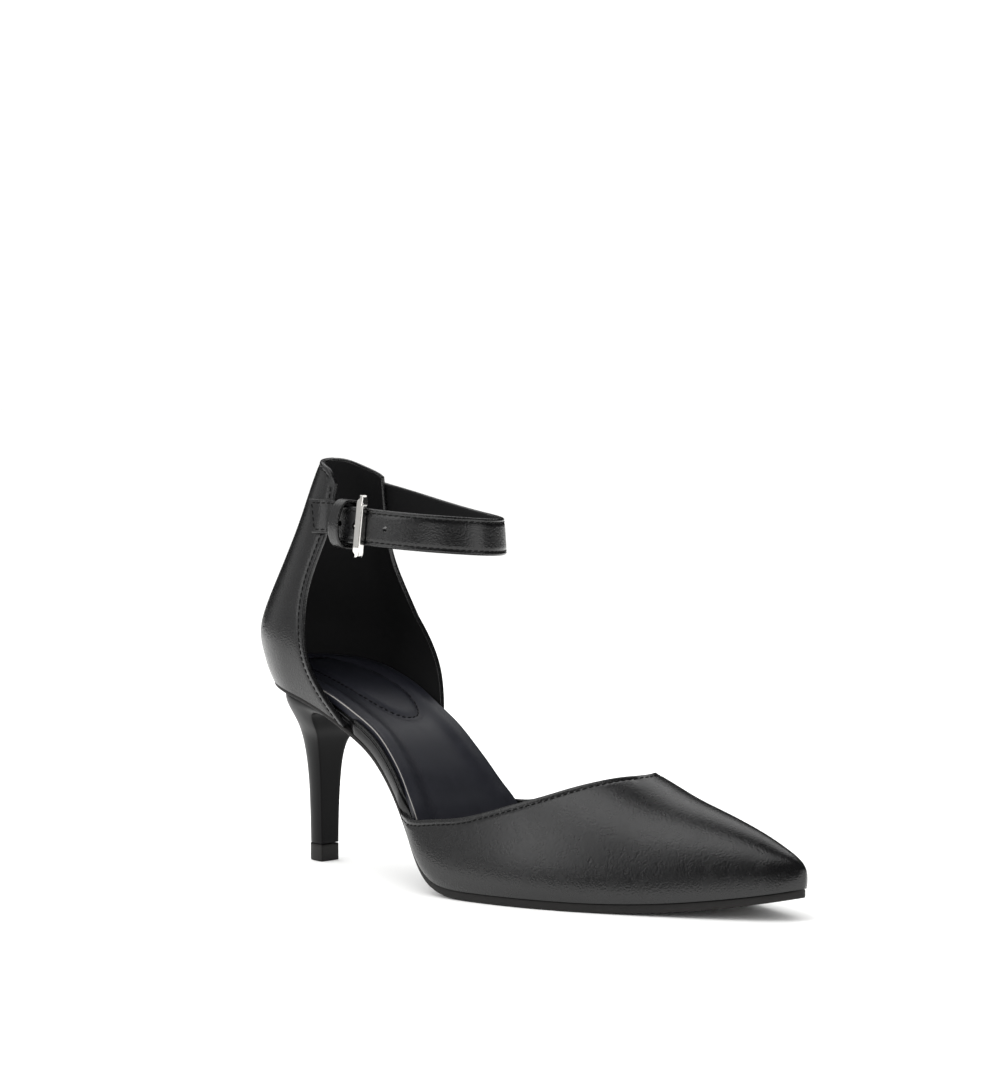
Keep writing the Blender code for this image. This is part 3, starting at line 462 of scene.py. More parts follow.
half_width = {LATERAL: column(PLAN, "x", "lateral"), MEDIAL: column(PLAN, "x", "medial")}
side_swell = {LATERAL: column(PLAN, "x", "lateral_swell"), MEDIAL: column(PLAN, "x", "medial_swell")}
sole_thickness = column(PLAN, "x", "sole")
arch_height = column(ARCH, "x", "z")
ridge_y = column(RIDGE, "x", "y")
ridge_z = column(RIDGE, "x", "z")
topline = {LATERAL: column(TOPLINE, "step", "lateral"), MEDIAL: column(TOPLINE, "step", "medial")}
quarter_back = column(QUARTER, "level", "back")
quarter_half = column(QUARTER, "level", "half")
quarter_front = {
    LATERAL: column(QUARTER, "level", "lateral_front"),
    MEDIAL: column(QUARTER, "level", "medial_front"),
}
top_edge = {LATERAL: column(TOP_EDGE, "x", "lateral"), MEDIAL: column(TOP_EDGE, "x", "medial")}


def closing(x, start, end):
    """1 up to start, then falls to 0 at end along an ellipse."""
    share = np.clip((x - start) / (end - start), 0.0, 1.0)
    return np.sqrt(1.0 - share ** 2)


def ease(x, start, end):
    """Smooth step from 0 at start to 1 at end."""
    share = np.clip((x - start) / (end - start), 0.0, 1.0)
    return share * share * (3.0 - 2.0 * share)


def unit(vectors):
    """Vectors scaled to length 1."""
    return vectors / np.linalg.norm(vectors, axis=-1, keepdims=True)


def sole_bottom(x):
    """Height of the sole's underside."""
    x = np.asarray(x, float)
    spring = TOE_SPRING * np.clip((x - FLAT_FRONT) / (SOLE_TOE - FLAT_FRONT), 0.0, None) ** 2
    return np.where(x < FLAT_BACK, np.maximum(arch_height(x), 0.0), spring)


def layer(x, thickness):
    """Height of a layer this thick on top of the outsole, allowing for the slope of the arch."""
    slope = sole_bottom(x + 0.5) - sole_bottom(x - 0.5)
    return sole_bottom(x) + (sole_thickness(x) + thickness) * np.sqrt(1.0 + slope ** 2)


def feather(x):
    """Lower edge of the upper, just above the outsole."""
    return layer(x, GAP)


def edge(x, side, inset=0.0):
    """Outline of the shoe's bottom in plan, on one side, optionally set in."""
    x = np.asarray(x, float)
    y = side * (half_width[side](x) - inset)
    nose = closing(x, NOSE_START - inset, SOLE_TOE - inset)
    tail = closing(-x, -SEAT_CENTRE, -SOLE_BACK - inset)
    return (TOE_Y + (y - TOE_Y) * nose) * tail


def vamp_point(x, side, climb):
    """Outer face of the vamp: climb goes from the feather line (0) over the side to the ridge (1)."""
    angle = climb * math.pi / 2
    foot_z = feather(x)
    rise = (ridge_z(x) - foot_z) * np.sin(angle)
    y = ridge_y(x) + (edge(x, side) - ridge_y(x)) * np.cos(angle)
    share = rise / SWELL_HEIGHT
    swell = side_swell[side](x) * share * np.exp(1.0 - share) * np.cos(angle)
    y = y + side * swell * closing(x, NOSE_START, SOLE_TOE)
    near_tip = ease(x, NOSE_START, SOLE_TOE) ** 2
    return np.array([x + NOSE_OVERHANG * near_tip * np.sin(2 * angle), y, foot_z + rise])


def quarter_point(x, side, level):
    """Outer face of the quarter at a level between the feather line (0) and the top edge (1)."""
    back = quarter_back(level)
    half = quarter_half(level)
    spread = (half_width[side](x) - SEAT_HALF) * (1.0 - level)
    y = side * (half + spread) * closing(-x, -back - half, -back)
    z = feather(x) * (1.0 - level) + top_edge[side](x) * level
    return np.array([x, y, z])


def on_quarter(x, z, side, clear):
    """A point this far outside the quarter's face, and the face's lean in degrees."""
    level = (z - feather(x)) / (top_edge[side](x) - feather(x))
    here = quarter_point(x, side, level)
    ahead = quarter_point(x + 0.5, side, level) - here
    above = quarter_point(x, side, level + 0.02) - here
    normal = unit(np.cross(ahead, above)) * -side
    lean = math.degrees(math.atan2(normal[2], math.hypot(normal[0], normal[1])))
    return here + normal * clear, lean


def rim_inset(x, side):
    """The board lies inside the upper's walls, and comes out to the edge in the open waist."""
    start, clear, back, hidden = RIM_SHOWN[side]
    shown = ease(x, start, clear) - ease(x, back, hidden)
    return BOARD_INSET - (BOARD_INSET - RIM_INSET) * shown


def sock_inset(x):
    """Distance of the sock's edges from the outline."""
    waist = (WAIST_SOCK_INSET - SEAT_SOCK_INSET) * ease(x, SEAT_CENTRE, SOCK_SEAT_END)
    return SEAT_SOCK_INSET + waist + (TOE_SOCK_INSET - WAIST_SOCK_INSET) * ease(x, *SOCK_UNDER_VAMP)


class Route:
    """A strap's middle line with its outward and upward directions."""

    def __init__(self, points, leans):
        points = np.array(points, float)
        self.knots = np.concatenate([[0.0], np.cumsum(np.linalg.norm(np.diff(points, axis=0), axis=1))])
        self.length = self.knots[-1]
        self.axes = [spline(self.knots, points[:, k]) for k in range(3)]
        self.lean = spline(self.knots, leans)

    def at(self, s):
        """Point, direction along, outward normal and up direction; straight on past either end."""
        inside = min(max(s, ROUTE_END), self.length - ROUTE_END)
        place = np.array([axis(inside) for axis in self.axes], float)
        ahead = [axis(inside + SLOPE_STEP) - axis(inside - SLOPE_STEP) for axis in self.axes]
        along = unit(np.array(ahead, float))
        side = unit(np.cross((0.0, 0.0, 1.0), along))
        lean = math.radians(float(self.lean(inside)))
        rise = np.cross(along, side)
        out = side * math.cos(lean) + rise * math.sin(lean)
        return place + along * (s - inside), along, out, np.cross(along, out)

    def offset(self, s, outward):
        """A point beside the route."""
        place, _, out, _ = self.at(s)
        return place + out * outward

    def find_x(self, x):
        """Distance along the outer run where the route passes x."""
        samples = np.linspace(self.length / 2, self.length, 400)
        return float(samples[np.argmin(np.abs(self.axes[0](samples) - x))])


def strap_route():
    """Lap on the quarter, then round the ankle to the buckle."""
    points = []
    leans = []
    for row in LAP:
        place, lean = on_quarter(row.x, row.z, MEDIAL, LAP_GAP + STRAP_THICK / 2)
        points.append(place)
        leans.append(lean)
    for row in STRAP_ROUTE:
        points.append((row.x, row.y, row.z))
        leans.append(row.lean)
    return Route(points, leans)


def to_world(points):
    """Shoe millimetres to the metres of the solids' frame."""
    return (np.asarray(points, float) + SHIFT) * MM


def linear(code):
    """An sRGB hex colour as linear values."""
    shares = [int(code[i:i + 2], 16) / 255 for i in (1, 3, 5)]
    return tuple(c / 12.92 if c <= 0.04045 else ((c + 0.055) / 1.055) ** 2.4 for c in shares)


class PumpSizes(bpy.types.PropertyGroup):
    """Sizes that a user would change."""

    stitch_pitch: bpy.props.FloatProperty(
        name="Stitch pitch", description="Distance from one stitch to the next",
        default=2.3 * MM, min=1.0 * MM, max=5.0 * MM, precision=5, unit="LENGTH")
    stitch_share: bpy.props.FloatProperty(
        name="Stitch share", description="Share of the pitch that each stitch covers",
        default=0.74, min=0.4, max=0.95, subtype="FACTOR")
    thread: bpy.props.FloatProperty(
        name="Thread", description="Thickness of the sewing thread",
        default=0.52 * MM, min=0.2 * MM, max=1.2 * MM, precision=5, unit="LENGTH")
    stitch_inset: bpy.props.FloatProperty(
        name="Stitch inset", description="Distance of the stitch lines from the folded edges",
        default=1.6 * MM, min=1.0 * MM, max=5.0 * MM, precision=5, unit="LENGTH")
    channel: bpy.props.FloatProperty(
        name="Channel", description="Depth that the stitches pull into the leather",
        default=0.28 * MM, min=0.0, max=0.6 * MM, precision=5, unit="LENGTH")
    fold: bpy.props.FloatProperty(
        name="Folded edge", description="Rounding of the upper's folded edges",
        default=0.55 * MM, min=0.1 * MM, max=0.7 * MM, precision=5, unit="LENGTH")
    pad_rise: bpy.props.FloatProperty(
        name="Heel pad", description="Height of the oval heel pad on the sock",
        default=1.3 * MM, min=0.0, max=2.0 * MM, precision=5, unit="LENGTH")
    grain: bpy.props.FloatProperty(
        name="Grain", description="Width of one pebble of the leather's grain",
        default=0.62 * MM, min=0.2 * MM, max=3.0 * MM, precision=5, unit="LENGTH")


class PumpColours(bpy.types.PropertyGroup):
    """Colours that a user would change."""

    leather: bpy.props.FloatVectorProperty(
        name="Leather", description="Upper, strap, tab, keeper and covers",
        default=linear("#0b0b0c"), min=0.0, max=1.0, subtype="COLOR")
    lining: bpy.props.FloatVectorProperty(
        name="Lining", description="Inside of the upper and the strap",
        default=linear("#0d0d0e"), min=0.0, max=1.0, subtype="COLOR")
    sock: bpy.props.FloatVectorProperty(
        name="Sock", description="Padded insole",
        default=linear("#1c1d24"), min=0.0, max=1.0, subtype="COLOR")
    # Light grey painted on one row of the sock's edge: a painted highlight along its top edge, not a colour
    # of the leather.
    edge_highlight_paint: bpy.props.FloatVectorProperty(
        name="Cut edge", description="Raw edge of the sock's cover",
        default=linear("#86837f"), min=0.0, max=1.0, subtype="COLOR")
    sole: bpy.props.FloatVectorProperty(
        name="Sole", description="Outsole and top piece",
        default=linear("#0f0d0c"), min=0.0, max=1.0, subtype="COLOR")
    thread: bpy.props.FloatVectorProperty(
        name="Thread", description="Sewing thread",
        default=linear("#080808"), min=0.0, max=1.0, subtype="COLOR")
    metal: bpy.props.FloatVectorProperty(
        name="Metal", description="Buckle",
        default=linear("#dcdad6"), min=0.0, max=1.0, subtype="COLOR")
    floor: bpy.props.FloatVectorProperty(
        name="Floor", description="Studio floor",
        default=linear("#fbfbfa"), min=0.0, max=1.0, subtype="COLOR")


def feed(tree, made, inputs):
    """Set a node's inputs: each is a value, or another node's output to link."""
    for key, value in inputs.items():
        if isinstance(value, bpy.types.NodeSocket):
            tree.links.new(value, made.inputs[key])
        else:
            made.inputs[key].default_value = value


def node(tree, kind, inputs=None, stops=(), **settings):
    """Add a node with its settings and links; stops are a colour ramp's positions and colours."""
    made = tree.nodes.new(kind)
    for key, value in settings.items():
        setattr(made, key, value)
    feed(tree, made, inputs or {})
    for k, (position, colour) in enumerate(stops):
        made.color_ramp.elements[k].position = position
        made.color_ramp.elements[k].color = (*colour, 1.0)
    return made


def kept(name):
    """Marks a finish that is made once under this name, from its tree, shader and object coordinates."""

    def wrap(make):

        def get():
            made = bpy.data.materials.get(name)
            if not made:
                made = bpy.data.materials.new(name)
                made.use_nodes = True
                tree = made.node_tree
                place = node(tree, "ShaderNodeTexCoord").outputs["Object"]
                make(tree, tree.nodes["Principled BSDF"], place)
            return made

        return get

    return wrap


def per_mm(size):
    """Texture scale for a pattern this many millimetres wide, on coordinates in metres."""
    return 1.0 / (size * MM)


def shade(colour, share):
    """A darker or lighter tone of a colour."""
    return [c * share for c in colour]


def grained_leather(tree, shader, place, colour, grain, gloss, relief, shine=0.5):
    """Embossed chrome-tanned leather: small round pebbles under a satin finish break up the highlights."""
    drift = node(tree, "ShaderNodeTexNoise", {"Vector": place, "Scale": per_mm(4.0), "Detail": 2.0})
    pebbles = node(
        tree, "ShaderNodeTexVoronoi", {"Vector": place, "Scale": 1.0 / grain, "Smoothness": 0.6},
        feature="SMOOTH_F1")
    pores = node(tree, "ShaderNodeTexNoise", {"Vector": place, "Scale": per_mm(0.3), "Detail": 2.0})
    height = node(
        tree, "ShaderNodeMath", {0: pores.outputs["Fac"], 1: 0.35, 2: pebbles.outputs["Distance"]},
        operation="MULTIPLY_ADD")
    bump = node(
        tree, "ShaderNodeBump",
        {"Strength": relief, "Distance": 0.12 * MM, "Height": height.outputs[0]}, invert=True)
    rough = node(
        tree, "ShaderNodeMapRange",
        {"Value": drift.outputs["Fac"], "From Min": 0.3, "From Max": 0.7,
         "To Min": gloss - 0.02, "To Max": gloss + 0.03})
    tone = node(
        tree, "ShaderNodeValToRGB", {"Fac": drift.outputs["Fac"]},
        stops=((0.3, shade(colour, 0.9)), (0.7, shade(colour, 1.1))))
    feed(tree, shader, {
        "Base Color": tone.outputs["Color"], "Roughness": rough.outputs["Result"],
        "Normal": bump.outputs["Normal"], "IOR": 1.5, "Specular IOR Level": shine})


@kept("pebbled_black_leather")
def upper_leather(tree, shader, place):
    """Pebbled leather of the upper and the strap: satin, with a fine grain that shows in the highlights."""
    scene = bpy.context.scene
    grained_leather(
        tree, shader, place, scene.pump_colours.leather, scene.pump_sizes.grain, gloss=0.26, relief=0.55)


@kept("smooth_cover_leather")
def cover_leather(tree, shader, place):
    """Thin smooth leather drawn over the board's rim: almost no pebble, a satin gloss."""
    colour = bpy.context.scene.pump_colours.leather
    grained_leather(tree, shader, place, colour, COVER_GRAIN * MM, gloss=0.29, relief=0.08)


@kept("dull_heel_leather")
def heel_leather(tree, shader, place):
    """The same leather with a duller finish on the heel, which stays nearly black against the pale floor."""
    colour = bpy.context.scene.pump_colours.leather
    grained_leather(tree, shader, place, colour, COVER_GRAIN * MM, gloss=0.36, relief=0.06, shine=0.08)


@kept("glazed_sock_leather")
def sock_leather(tree, shader, place):
    """Soft glazed sock leather: blue-black and satin, with fine wrinkles and pores."""
    colour = bpy.context.scene.pump_colours.sock
    grained_leather(tree, shader, place, colour, SOCK_GRAIN * MM, gloss=0.42, relief=0.15, shine=0.28)


@kept("microfibre_lining")
def lining_suede(tree, shader, place):
    """Brushed microfibre lining: matte and very dark, with a faint nap."""
    colour = bpy.context.scene.pump_colours.lining
    nap = node(tree, "ShaderNodeTexNoise", {"Vector": place, "Scale": per_mm(0.4), "Detail": 3.0})
    tone = node(
        tree, "ShaderNodeValToRGB", {"Fac": nap.outputs["Fac"]},
        stops=((0.0, shade(colour, 0.7)), (1.0, shade(colour, 1.3))))
    bump = node(
        tree, "ShaderNodeBump", {"Strength": 0.3, "Distance": 0.08 * MM, "Height": nap.outputs["Fac"]})
    feed(tree, shader, {
        "Base Color": tone.outputs["Color"], "Normal": bump.outputs["Normal"],
        "Roughness": 0.85, "Specular IOR Level": 0.25})


@kept("raw_cut_edge")
def edge_highlight_paint(tree, shader, place):
    """Painted highlight on the sock's edge: a light grey matte line that stands in for the light its top
    edge catches.
    """
    fuzz = node(tree, "ShaderNodeTexNoise", {"Vector": place, "Scale": per_mm(0.4), "Detail": 2.0})
    bump = node(
        tree, "ShaderNodeBump", {"Strength": 0.3, "Distance": 0.05 * MM, "Height": fuzz.outputs["Fac"]})
    feed(tree, shader, {
        "Base Color": (*bpy.context.scene.pump_colours.edge_highlight_paint, 1.0),
        "Normal": bump.outputs["Normal"], "Roughness": 0.7})


@kept("ribbed_edging_tape")
def ribbed_edging(tree, shader, place):
    """Ribbed edging tape on the board: close ribs across the tape catch light as fine dashes."""
    ribs = node(
        tree, "ShaderNodeTexWave",
        {"Vector": place, "Scale": per_mm(RIB_WIDTH) * math.pi / WAVE_BANDS, "Distortion": 0.4},
        bands_direction="X")
    bump = node(
        tree, "ShaderNodeBump", {"Strength": 0.5, "Distance": 0.2 * MM, "Height": ribs.outputs["Fac"]})
    feed(tree, shader, {
        "Base Color": (*bpy.context.scene.pump_colours.leather, 1.0),
        "Normal": bump.outputs["Normal"], "Roughness": 0.42})


@kept("moulded_sole_rubber")
def sole_rubber(tree, shader, place):
    """Moulded rubber sheet, cut and edge-trimmed: matte brown-black with fine scratches along the cut."""
    colour = bpy.context.scene.pump_colours.sole
    stretched = node(tree, "ShaderNodeMapping", {"Vector": place, "Scale": (0.25, 0.25, 2.0)})
    streaks = node(
        tree, "ShaderNodeTexNoise",
        {"Vector": stretched.outputs["Vector"], "Scale": per_mm(0.9), "Detail": 3.0})
    grit = node(tree, "ShaderNodeTexNoise", {"Vector": place, "Scale": per_mm(0.35), "Detail": 2.0})
    height = node(
        tree, "ShaderNodeMath", {0: grit.outputs["Fac"], 1: 0.5, 2: streaks.outputs["Fac"]},
        operation="MULTIPLY_ADD")
    bump = node(
        tree, "ShaderNodeBump", {"Strength": 0.35, "Distance": 0.12 * MM, "Height": height.outputs[0]})
    tone = node(
        tree, "ShaderNodeValToRGB", {"Fac": streaks.outputs["Fac"]},
        stops=((0.3, shade(colour, 0.75)), (0.75, shade(colour, 1.35))))
    feed(tree, shader, {
        "Base Color": tone.outputs["Color"], "Normal": bump.outputs["Normal"],
        "Roughness": 0.6, "Specular IOR Level": 0.35})


@kept("bonded_polyester_thread")
def bonded_thread(tree, shader, place):
    """Bonded polyester thread: black, slightly shiny, with the twist of its plies."""
    twist = node(tree, "ShaderNodeTexNoise", {"Vector": place, "Scale": per_mm(0.3), "Detail": 1.0})
    bump = node(
        tree, "ShaderNodeBump", {"Strength": 0.4, "Distance": 0.06 * MM, "Height": twist.outputs["Fac"]})
    feed(tree, shader, {
        "Base Color": (*bpy.context.scene.pump_colours.thread, 1.0),
        "Normal": bump.outputs["Normal"], "Roughness": 0.7, "Specular IOR Level": 0.2})


@kept("polished_nickel_plate")
def polished_nickel(tree, shader, place):
    """Nickel-plated zinc, tumbled and polished: mirror bright with faint smears."""
    smears = node(tree, "ShaderNodeTexNoise", {"Vector": place, "Scale": per_mm(1.5), "Detail": 3.0})
    rough = node(
        tree, "ShaderNodeMapRange",
        {"Value": smears.outputs["Fac"], "From Min": 0.3, "From Max": 0.7, "To Min": 0.07, "To Max": 0.16})
    bump = node(
        tree, "ShaderNodeBump", {"Strength": 0.12, "Distance": 0.1 * MM, "Height": smears.outputs["Fac"]})
    feed(tree, shader, {
        "Base Color": (*bpy.context.scene.pump_colours.metal, 1.0), "Metallic": 1.0,
        "Roughness": rough.outputs["Result"], "Normal": bump.outputs["Normal"]})


@kept("painted_studio_floor")
def floor_paint(tree, shader, place):
    """Matt white paint on the studio floor, with a faint mottle."""
    colour = bpy.context.scene.pump_colours.floor
    mottle = node(tree, "ShaderNodeTexNoise", {"Vector": place, "Scale": per_mm(300.0), "Detail": 2.0})
    tone = node(
        tree, "ShaderNodeValToRGB", {"Fac": mottle.outputs["Fac"]},
        stops=((0.0, shade(colour, 0.98)), (1.0, colour)))
    feed(tree, shader, {"Base Color": tone.outputs["Color"], "Roughness": 0.9})


def select_only(item=None):
    """Object mode, with nothing or one object selected."""
    if bpy.context.object and bpy.context.object.mode != "OBJECT":
        bpy.ops.object.mode_set(mode="OBJECT")
    bpy.ops.object.select_all(action="DESELECT")
    if item:
        item.select_set(True)
        bpy.context.view_layer.objects.active = item


def points_of(item):
    """An object's vertices as an array, in metres."""
    flat = np.empty(len(item.data.vertices) * 3)
    item.data.vertices.foreach_get("co", flat)
    return flat.reshape(-1, 3)


def set_points(item, points):
    """Move an object's vertices."""
    item.data.vertices.foreach_set("co", np.asarray(points, float).ravel())
    item.data.update()


def lay_grid(name, columns, rows, place, finishes):
    """A grid primitive whose points place(u, v) lays out in shoe millimetres, u and v from 0 to 1."""
    select_only()
    bpy.ops.mesh.primitive_grid_add(x_subdivisions=columns, y_subdivisions=rows, size=1.0)
    item = bpy.context.object
    item.name = name
    item.data.name = name
    flat = np.clip(points_of(item) + 0.5, 0.0, 1.0)
    set_points(item, to_world(np.asarray(place(flat[:, 0], flat[:, 1])).T))
    for finish in finishes:
        item.data.materials.append(finish)
    return item


def merge(item, close=False):
    """Merge the points that meet, close open ends, and make the faces agree."""
    select_only(item)
    bpy.ops.object.mode_set(mode="EDIT")
    bpy.ops.mesh.select_all(action="SELECT")
    bpy.ops.mesh.remove_doubles(threshold=0.0005 * MM)
    if close:
        bpy.ops.mesh.select_all(action="SELECT")
        bpy.ops.mesh.fill_holes(sides=0)
    bpy.ops.mesh.select_all(action="SELECT")
    bpy.ops.mesh.normals_make_consistent(inside=False)
    bpy.ops.object.mode_set(mode="OBJECT")


def change(item, kind, **settings):
    """Add a modifier and apply it."""
    select_only(item)
    added = item.modifiers.new(kind.lower(), kind)
    for key, value in settings.items():
        setattr(added, key, value)
    bpy.ops.object.modifier_apply(modifier=added.name)


def soften(item, width, segments):
    """Round an object's sharp edges by this many millimetres."""
    change(
        item, "BEVEL", width=width * MM, segments=segments, limit_method="ANGLE",
        angle_limit=math.radians(BEVEL_ANGLE))


def join(items):
    """Several objects as one."""
    select_only(items[0])
    for item in items[1:]:
        item.select_set(True)
    bpy.ops.object.join()
    return items[0]


def place_piece(item, nodes=(), angle=SMOOTH_ANGLE):
    """Smooth shading, and the piece's place on the shoe's body."""
    select_only(item)
    bpy.ops.object.shade_smooth_by_angle(angle=math.radians(angle))
    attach(item, "root")
    if nodes:
        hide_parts(*nodes)


def distance_to(points, path):
    """Distance of each point from a line of points."""
    starts = path[:-1]
    steps = np.diff(path, axis=0)
    lengths = np.maximum((steps ** 2).sum(axis=1), 1e-18)
    nearest = np.full(len(points), np.inf)
    for start, step, length in zip(starts, steps, lengths):
        share = np.clip(((points - start) @ step) / length, 0.0, 1.0)
        nearest = np.minimum(nearest, np.linalg.norm(points - start - share[:, None] * step, axis=1))
    return nearest


def channel_depth(points, seams):
    """How far the stitches pull the leather in at points, in millimetres."""
    depth = np.zeros(len(points))
    for seam in seams:
        depth = np.maximum(depth, np.exp(-(distance_to(points, seam) / CHANNEL_WIDTH) ** 2))
    return depth * bpy.context.scene.pump_sizes.channel / MM


def folded_rim(name, face, runs, hand):
    """The strip that closes a shell's border, from its outer to its inner face.

    face(*run, inside) gives the points and normals along each run of the border. The strip is rounded
    outwards where it shows, and flat along the sole, where a run's v stays 0.
    """
    fold = bpy.context.scene.pump_sizes.fold / MM
    outer, inner, normal, swell = [], [], [], []
    for run in runs:
        points, normals = face(*run, False)
        outer.append(points[:-1])
        normal.append(normals[:-1])
        inner.append(face(*run, True)[0][:-1])
        swell.append(np.full(len(points) - 1, fold if run[1][:-1].max() > 0.0 else 0.0))
    outer, inner, normal, swell = (np.concatenate(parts) for parts in (outer, inner, normal, swell))
    away = hand * off_edge(outer, normal)
    count = len(outer)

    def place(u, v):
        k = np.rint(u * count).astype(int) % count
        depth = (1.0 - np.cos(v * math.pi))[:, None] / 2
        bulge = (swell[k] * np.sin(v * math.pi))[:, None]
        return (outer[k] * (1.0 - depth) + inner[k] * depth + away[k] * bulge).T

    return lay_grid(name, count, RIM_ROWS, place, [upper_leather()])


def off_edge(loop, normals):
    """Directions that point off a sheet along its closed border."""
    ahead = np.roll(loop, -1, axis=0) - np.roll(loop, 1, axis=0)
    away = np.cross(ahead, normals)
    return away / np.maximum(np.linalg.norm(away, axis=1), 1e-9)[:, None]


def inset_path(line, outward, inset):
    """A line on a surface moved sideways by inset; outward gives the surface's normal at each point."""
    line = np.asarray(line, float)
    sideways = np.cross(outward, unit(np.gradient(line, axis=0)))
    return line + unit(sideways) * inset


def even_points(path, pitch):
    """Points spaced evenly along a line, and the directions there."""
    path = np.asarray(path, float)
    run = np.concatenate([[0.0], np.cumsum(np.linalg.norm(np.diff(path, axis=0), axis=1))])
    count = max(int(round(run[-1] / pitch)), 1)
    marks = (np.arange(count) + 0.5) * run[-1] / count

    def at(marks):
        return np.array([np.interp(marks, run, path[:, k]) for k in range(3)]).T

    return at(marks), unit(at(marks + pitch / 4) - at(marks - pitch / 4))


def sew(name, host, paths):
    """One stitch, shaped from a sphere and copied along the lines, lying on the host's surface."""
    sizes = bpy.context.scene.pump_sizes
    select_only()
    bpy.ops.mesh.primitive_uv_sphere_add(segments=STITCH_GRID[0], ring_count=STITCH_GRID[1], radius=0.5)
    seam = bpy.context.object
    seam.name = name
    seam.data.name = name
    ball = points_of(seam)
    ball[:, 2] = np.sign(ball[:, 2]) * np.abs(2 * ball[:, 2]) ** STITCH_BLUNT / 2
    faces = [list(face.vertices) for face in seam.data.polygons]
    size = sizes.thread
    long = sizes.stitch_pitch * sizes.stitch_share
    points = []
    polygons = []
    for path in paths:
        for place, ahead in zip(*even_points(to_world(path), sizes.stitch_pitch)):
            found, spot, normal, _ = host.closest_point_on_mesh(place)
            if not found:
                raise RuntimeError(f"{name}: no surface under a stitch")
            normal = np.array(normal)
            across = unit(np.cross(normal, ahead))
            along = np.cross(across, normal) + STITCH_SLANT * across
            shape = np.array([across * size, normal * size * STITCH_FLAT, along * long])
            polygons += [[k + len(points) * len(ball) for k in face] for face in faces]
            points.append(np.array(spot) + normal * size * STITCH_LIFT + ball @ shape)
    seam.data.clear_geometry()
    seam.data.from_pydata(np.concatenate(points).tolist(), [], polygons)
    seam.data.materials.clear()
    seam.data.materials.append(bonded_thread())
    merge(seam)
    place_piece(seam, angle=ROUND_ANGLE)
    return seam


def surface_normals(surface, first, second, first_step=SLOPE_STEP, second_step=0.01):
    """Unit normals of surface(a, b) at arrays of a and b."""
    along = surface(first + first_step, second) - surface(first - first_step, second)
    above = surface(first, second + second_step) - surface(first, second - second_step)
    return unit(np.cross(along.T, above.T))


def vamp_topline(side, count=120):
    """The opening's edge from the throat to the rear corner on one side, with the surface's normals."""
    step = np.linspace(0.0, 1.0, count)
    x = THROAT - (THROAT - VAMP_REAR) * step ** 2
    climb = topline[side](step)
    return vamp_point(x, side, climb).T, vamp_normal(x, side, climb)


def vamp_normal(x, side, climb):
    """Outward normals of the vamp; on the ridge and the nose they lie in the middle plane of both halves."""
    near = np.clip(x, VAMP_REAR, SOLE_TOE - NOSE_MARGIN)
    low = np.clip(climb, EDGE_MARGIN, 1.0 - EDGE_MARGIN)
    normal = surface_normals(lambda a, b: vamp_point(a, side, b), near, low) * -side
    fall = ridge_z(near - SLOPE_STEP) - ridge_z(near + SLOPE_STEP)
    crest = np.array([fall, 0.0 * fall, 2.0 * SLOPE_STEP + 0.0 * fall]).T
    tip = np.array([np.cos(climb), 0.0 * climb, np.sin(climb)]).T
    normal = np.where((climb > 0.999)[:, None], crest, normal)
    return unit(np.where((x > SOLE_TOE - 0.01)[:, None], tip, normal))


def vamp_place(u, v, side):
    """Station and climb of the vamp's grid: u from the wing's rear end to the toe, v from the sole up."""
    wing = np.clip(1.0 - u / WING_SHARE, 0.0, 1.0)
    nose = np.clip((u - WING_SHARE) / (1.0 - WING_SHARE), 0.0, 1.0)
    step = (wing + np.sin(wing * math.pi / 2)) / 2
    x = THROAT - (THROAT - VAMP_REAR) * step ** 2
    front = SOLE_TOE - (SOLE_TOE - THROAT) * (1.0 - nose) ** 2
    share = 1.0 - (1.0 - v) ** EDGE_CROWD
    return np.where(nose > 0, front, x), share * np.where(nose > 0, 1.0, topline[side](step))


def finish_upper(name, sheets, seams):
    """Join an upper's sheets, put it in its place and sew its seams."""
    upper = join(sheets)
    merge(upper)
    place_piece(upper, [name], angle=UPPER_ANGLE)
    sew(f"{name}_stitches", upper, seams)


class PUMP_OT_vamp(bpy.types.Operator):
    """Hollow front upper with its folded topline and stitches"""

    bl_idname = "pump.vamp"
    bl_label = "Vamp"

    def execute(self, context):
        inset = context.scene.pump_sizes.stitch_inset / MM
        lines = [inset_path(*vamp_topline(side), -inset * side) for side in (LATERAL, MEDIAL)]
        seam = np.concatenate([lines[0][::-1], lines[1]])

        def face(u, v, side, inside):
            x, climb = vamp_place(u, v, side)
            points = vamp_point(x, side, climb).T
            normal = vamp_normal(x, side, climb)
            room = (edge(x, MEDIAL) - edge(x, LATERAL)) / 2
            wall = VAMP_WALL * np.clip(room / VAMP_WALL / 4.0, THIN_NOSE, 1.0)
            sunk = wall if inside else channel_depth(points, [seam])
            return points - normal * sunk[:, None], normal

        sheets = []
        for side in (LATERAL, MEDIAL):
            for inside, finish in ((False, upper_leather()), (True, lining_suede())):
                sheets.append(lay_grid(
                    "vamp_leather", VAMP_COLUMNS, VAMP_ROWS,
                    lambda u, v, side=side, inside=inside: face(u, v, side, inside)[0].T, [finish]))
        rear = np.linspace(0.0, 1.0, VAMP_ROWS + 1)
        behind = np.arange(int(WING_SHARE * VAMP_COLUMNS) + 1) / VAMP_COLUMNS
        foot = np.arange(VAMP_COLUMNS + 1) / VAMP_COLUMNS
        runs = [
            (0.0 * rear, rear, LATERAL), (behind, 0.0 * behind + 1.0, LATERAL),
            (behind[::-1], 0.0 * behind + 1.0, MEDIAL), (0.0 * rear, rear[::-1], MEDIAL),
            (foot, 0.0 * foot, MEDIAL), (foot[::-1], 0.0 * foot, LATERAL),
        ]
        sheets.append(folded_rim("vamp_leather", face, runs, -1))
        finish_upper("vamp", sheets, [seam])
        return {"FINISHED"}


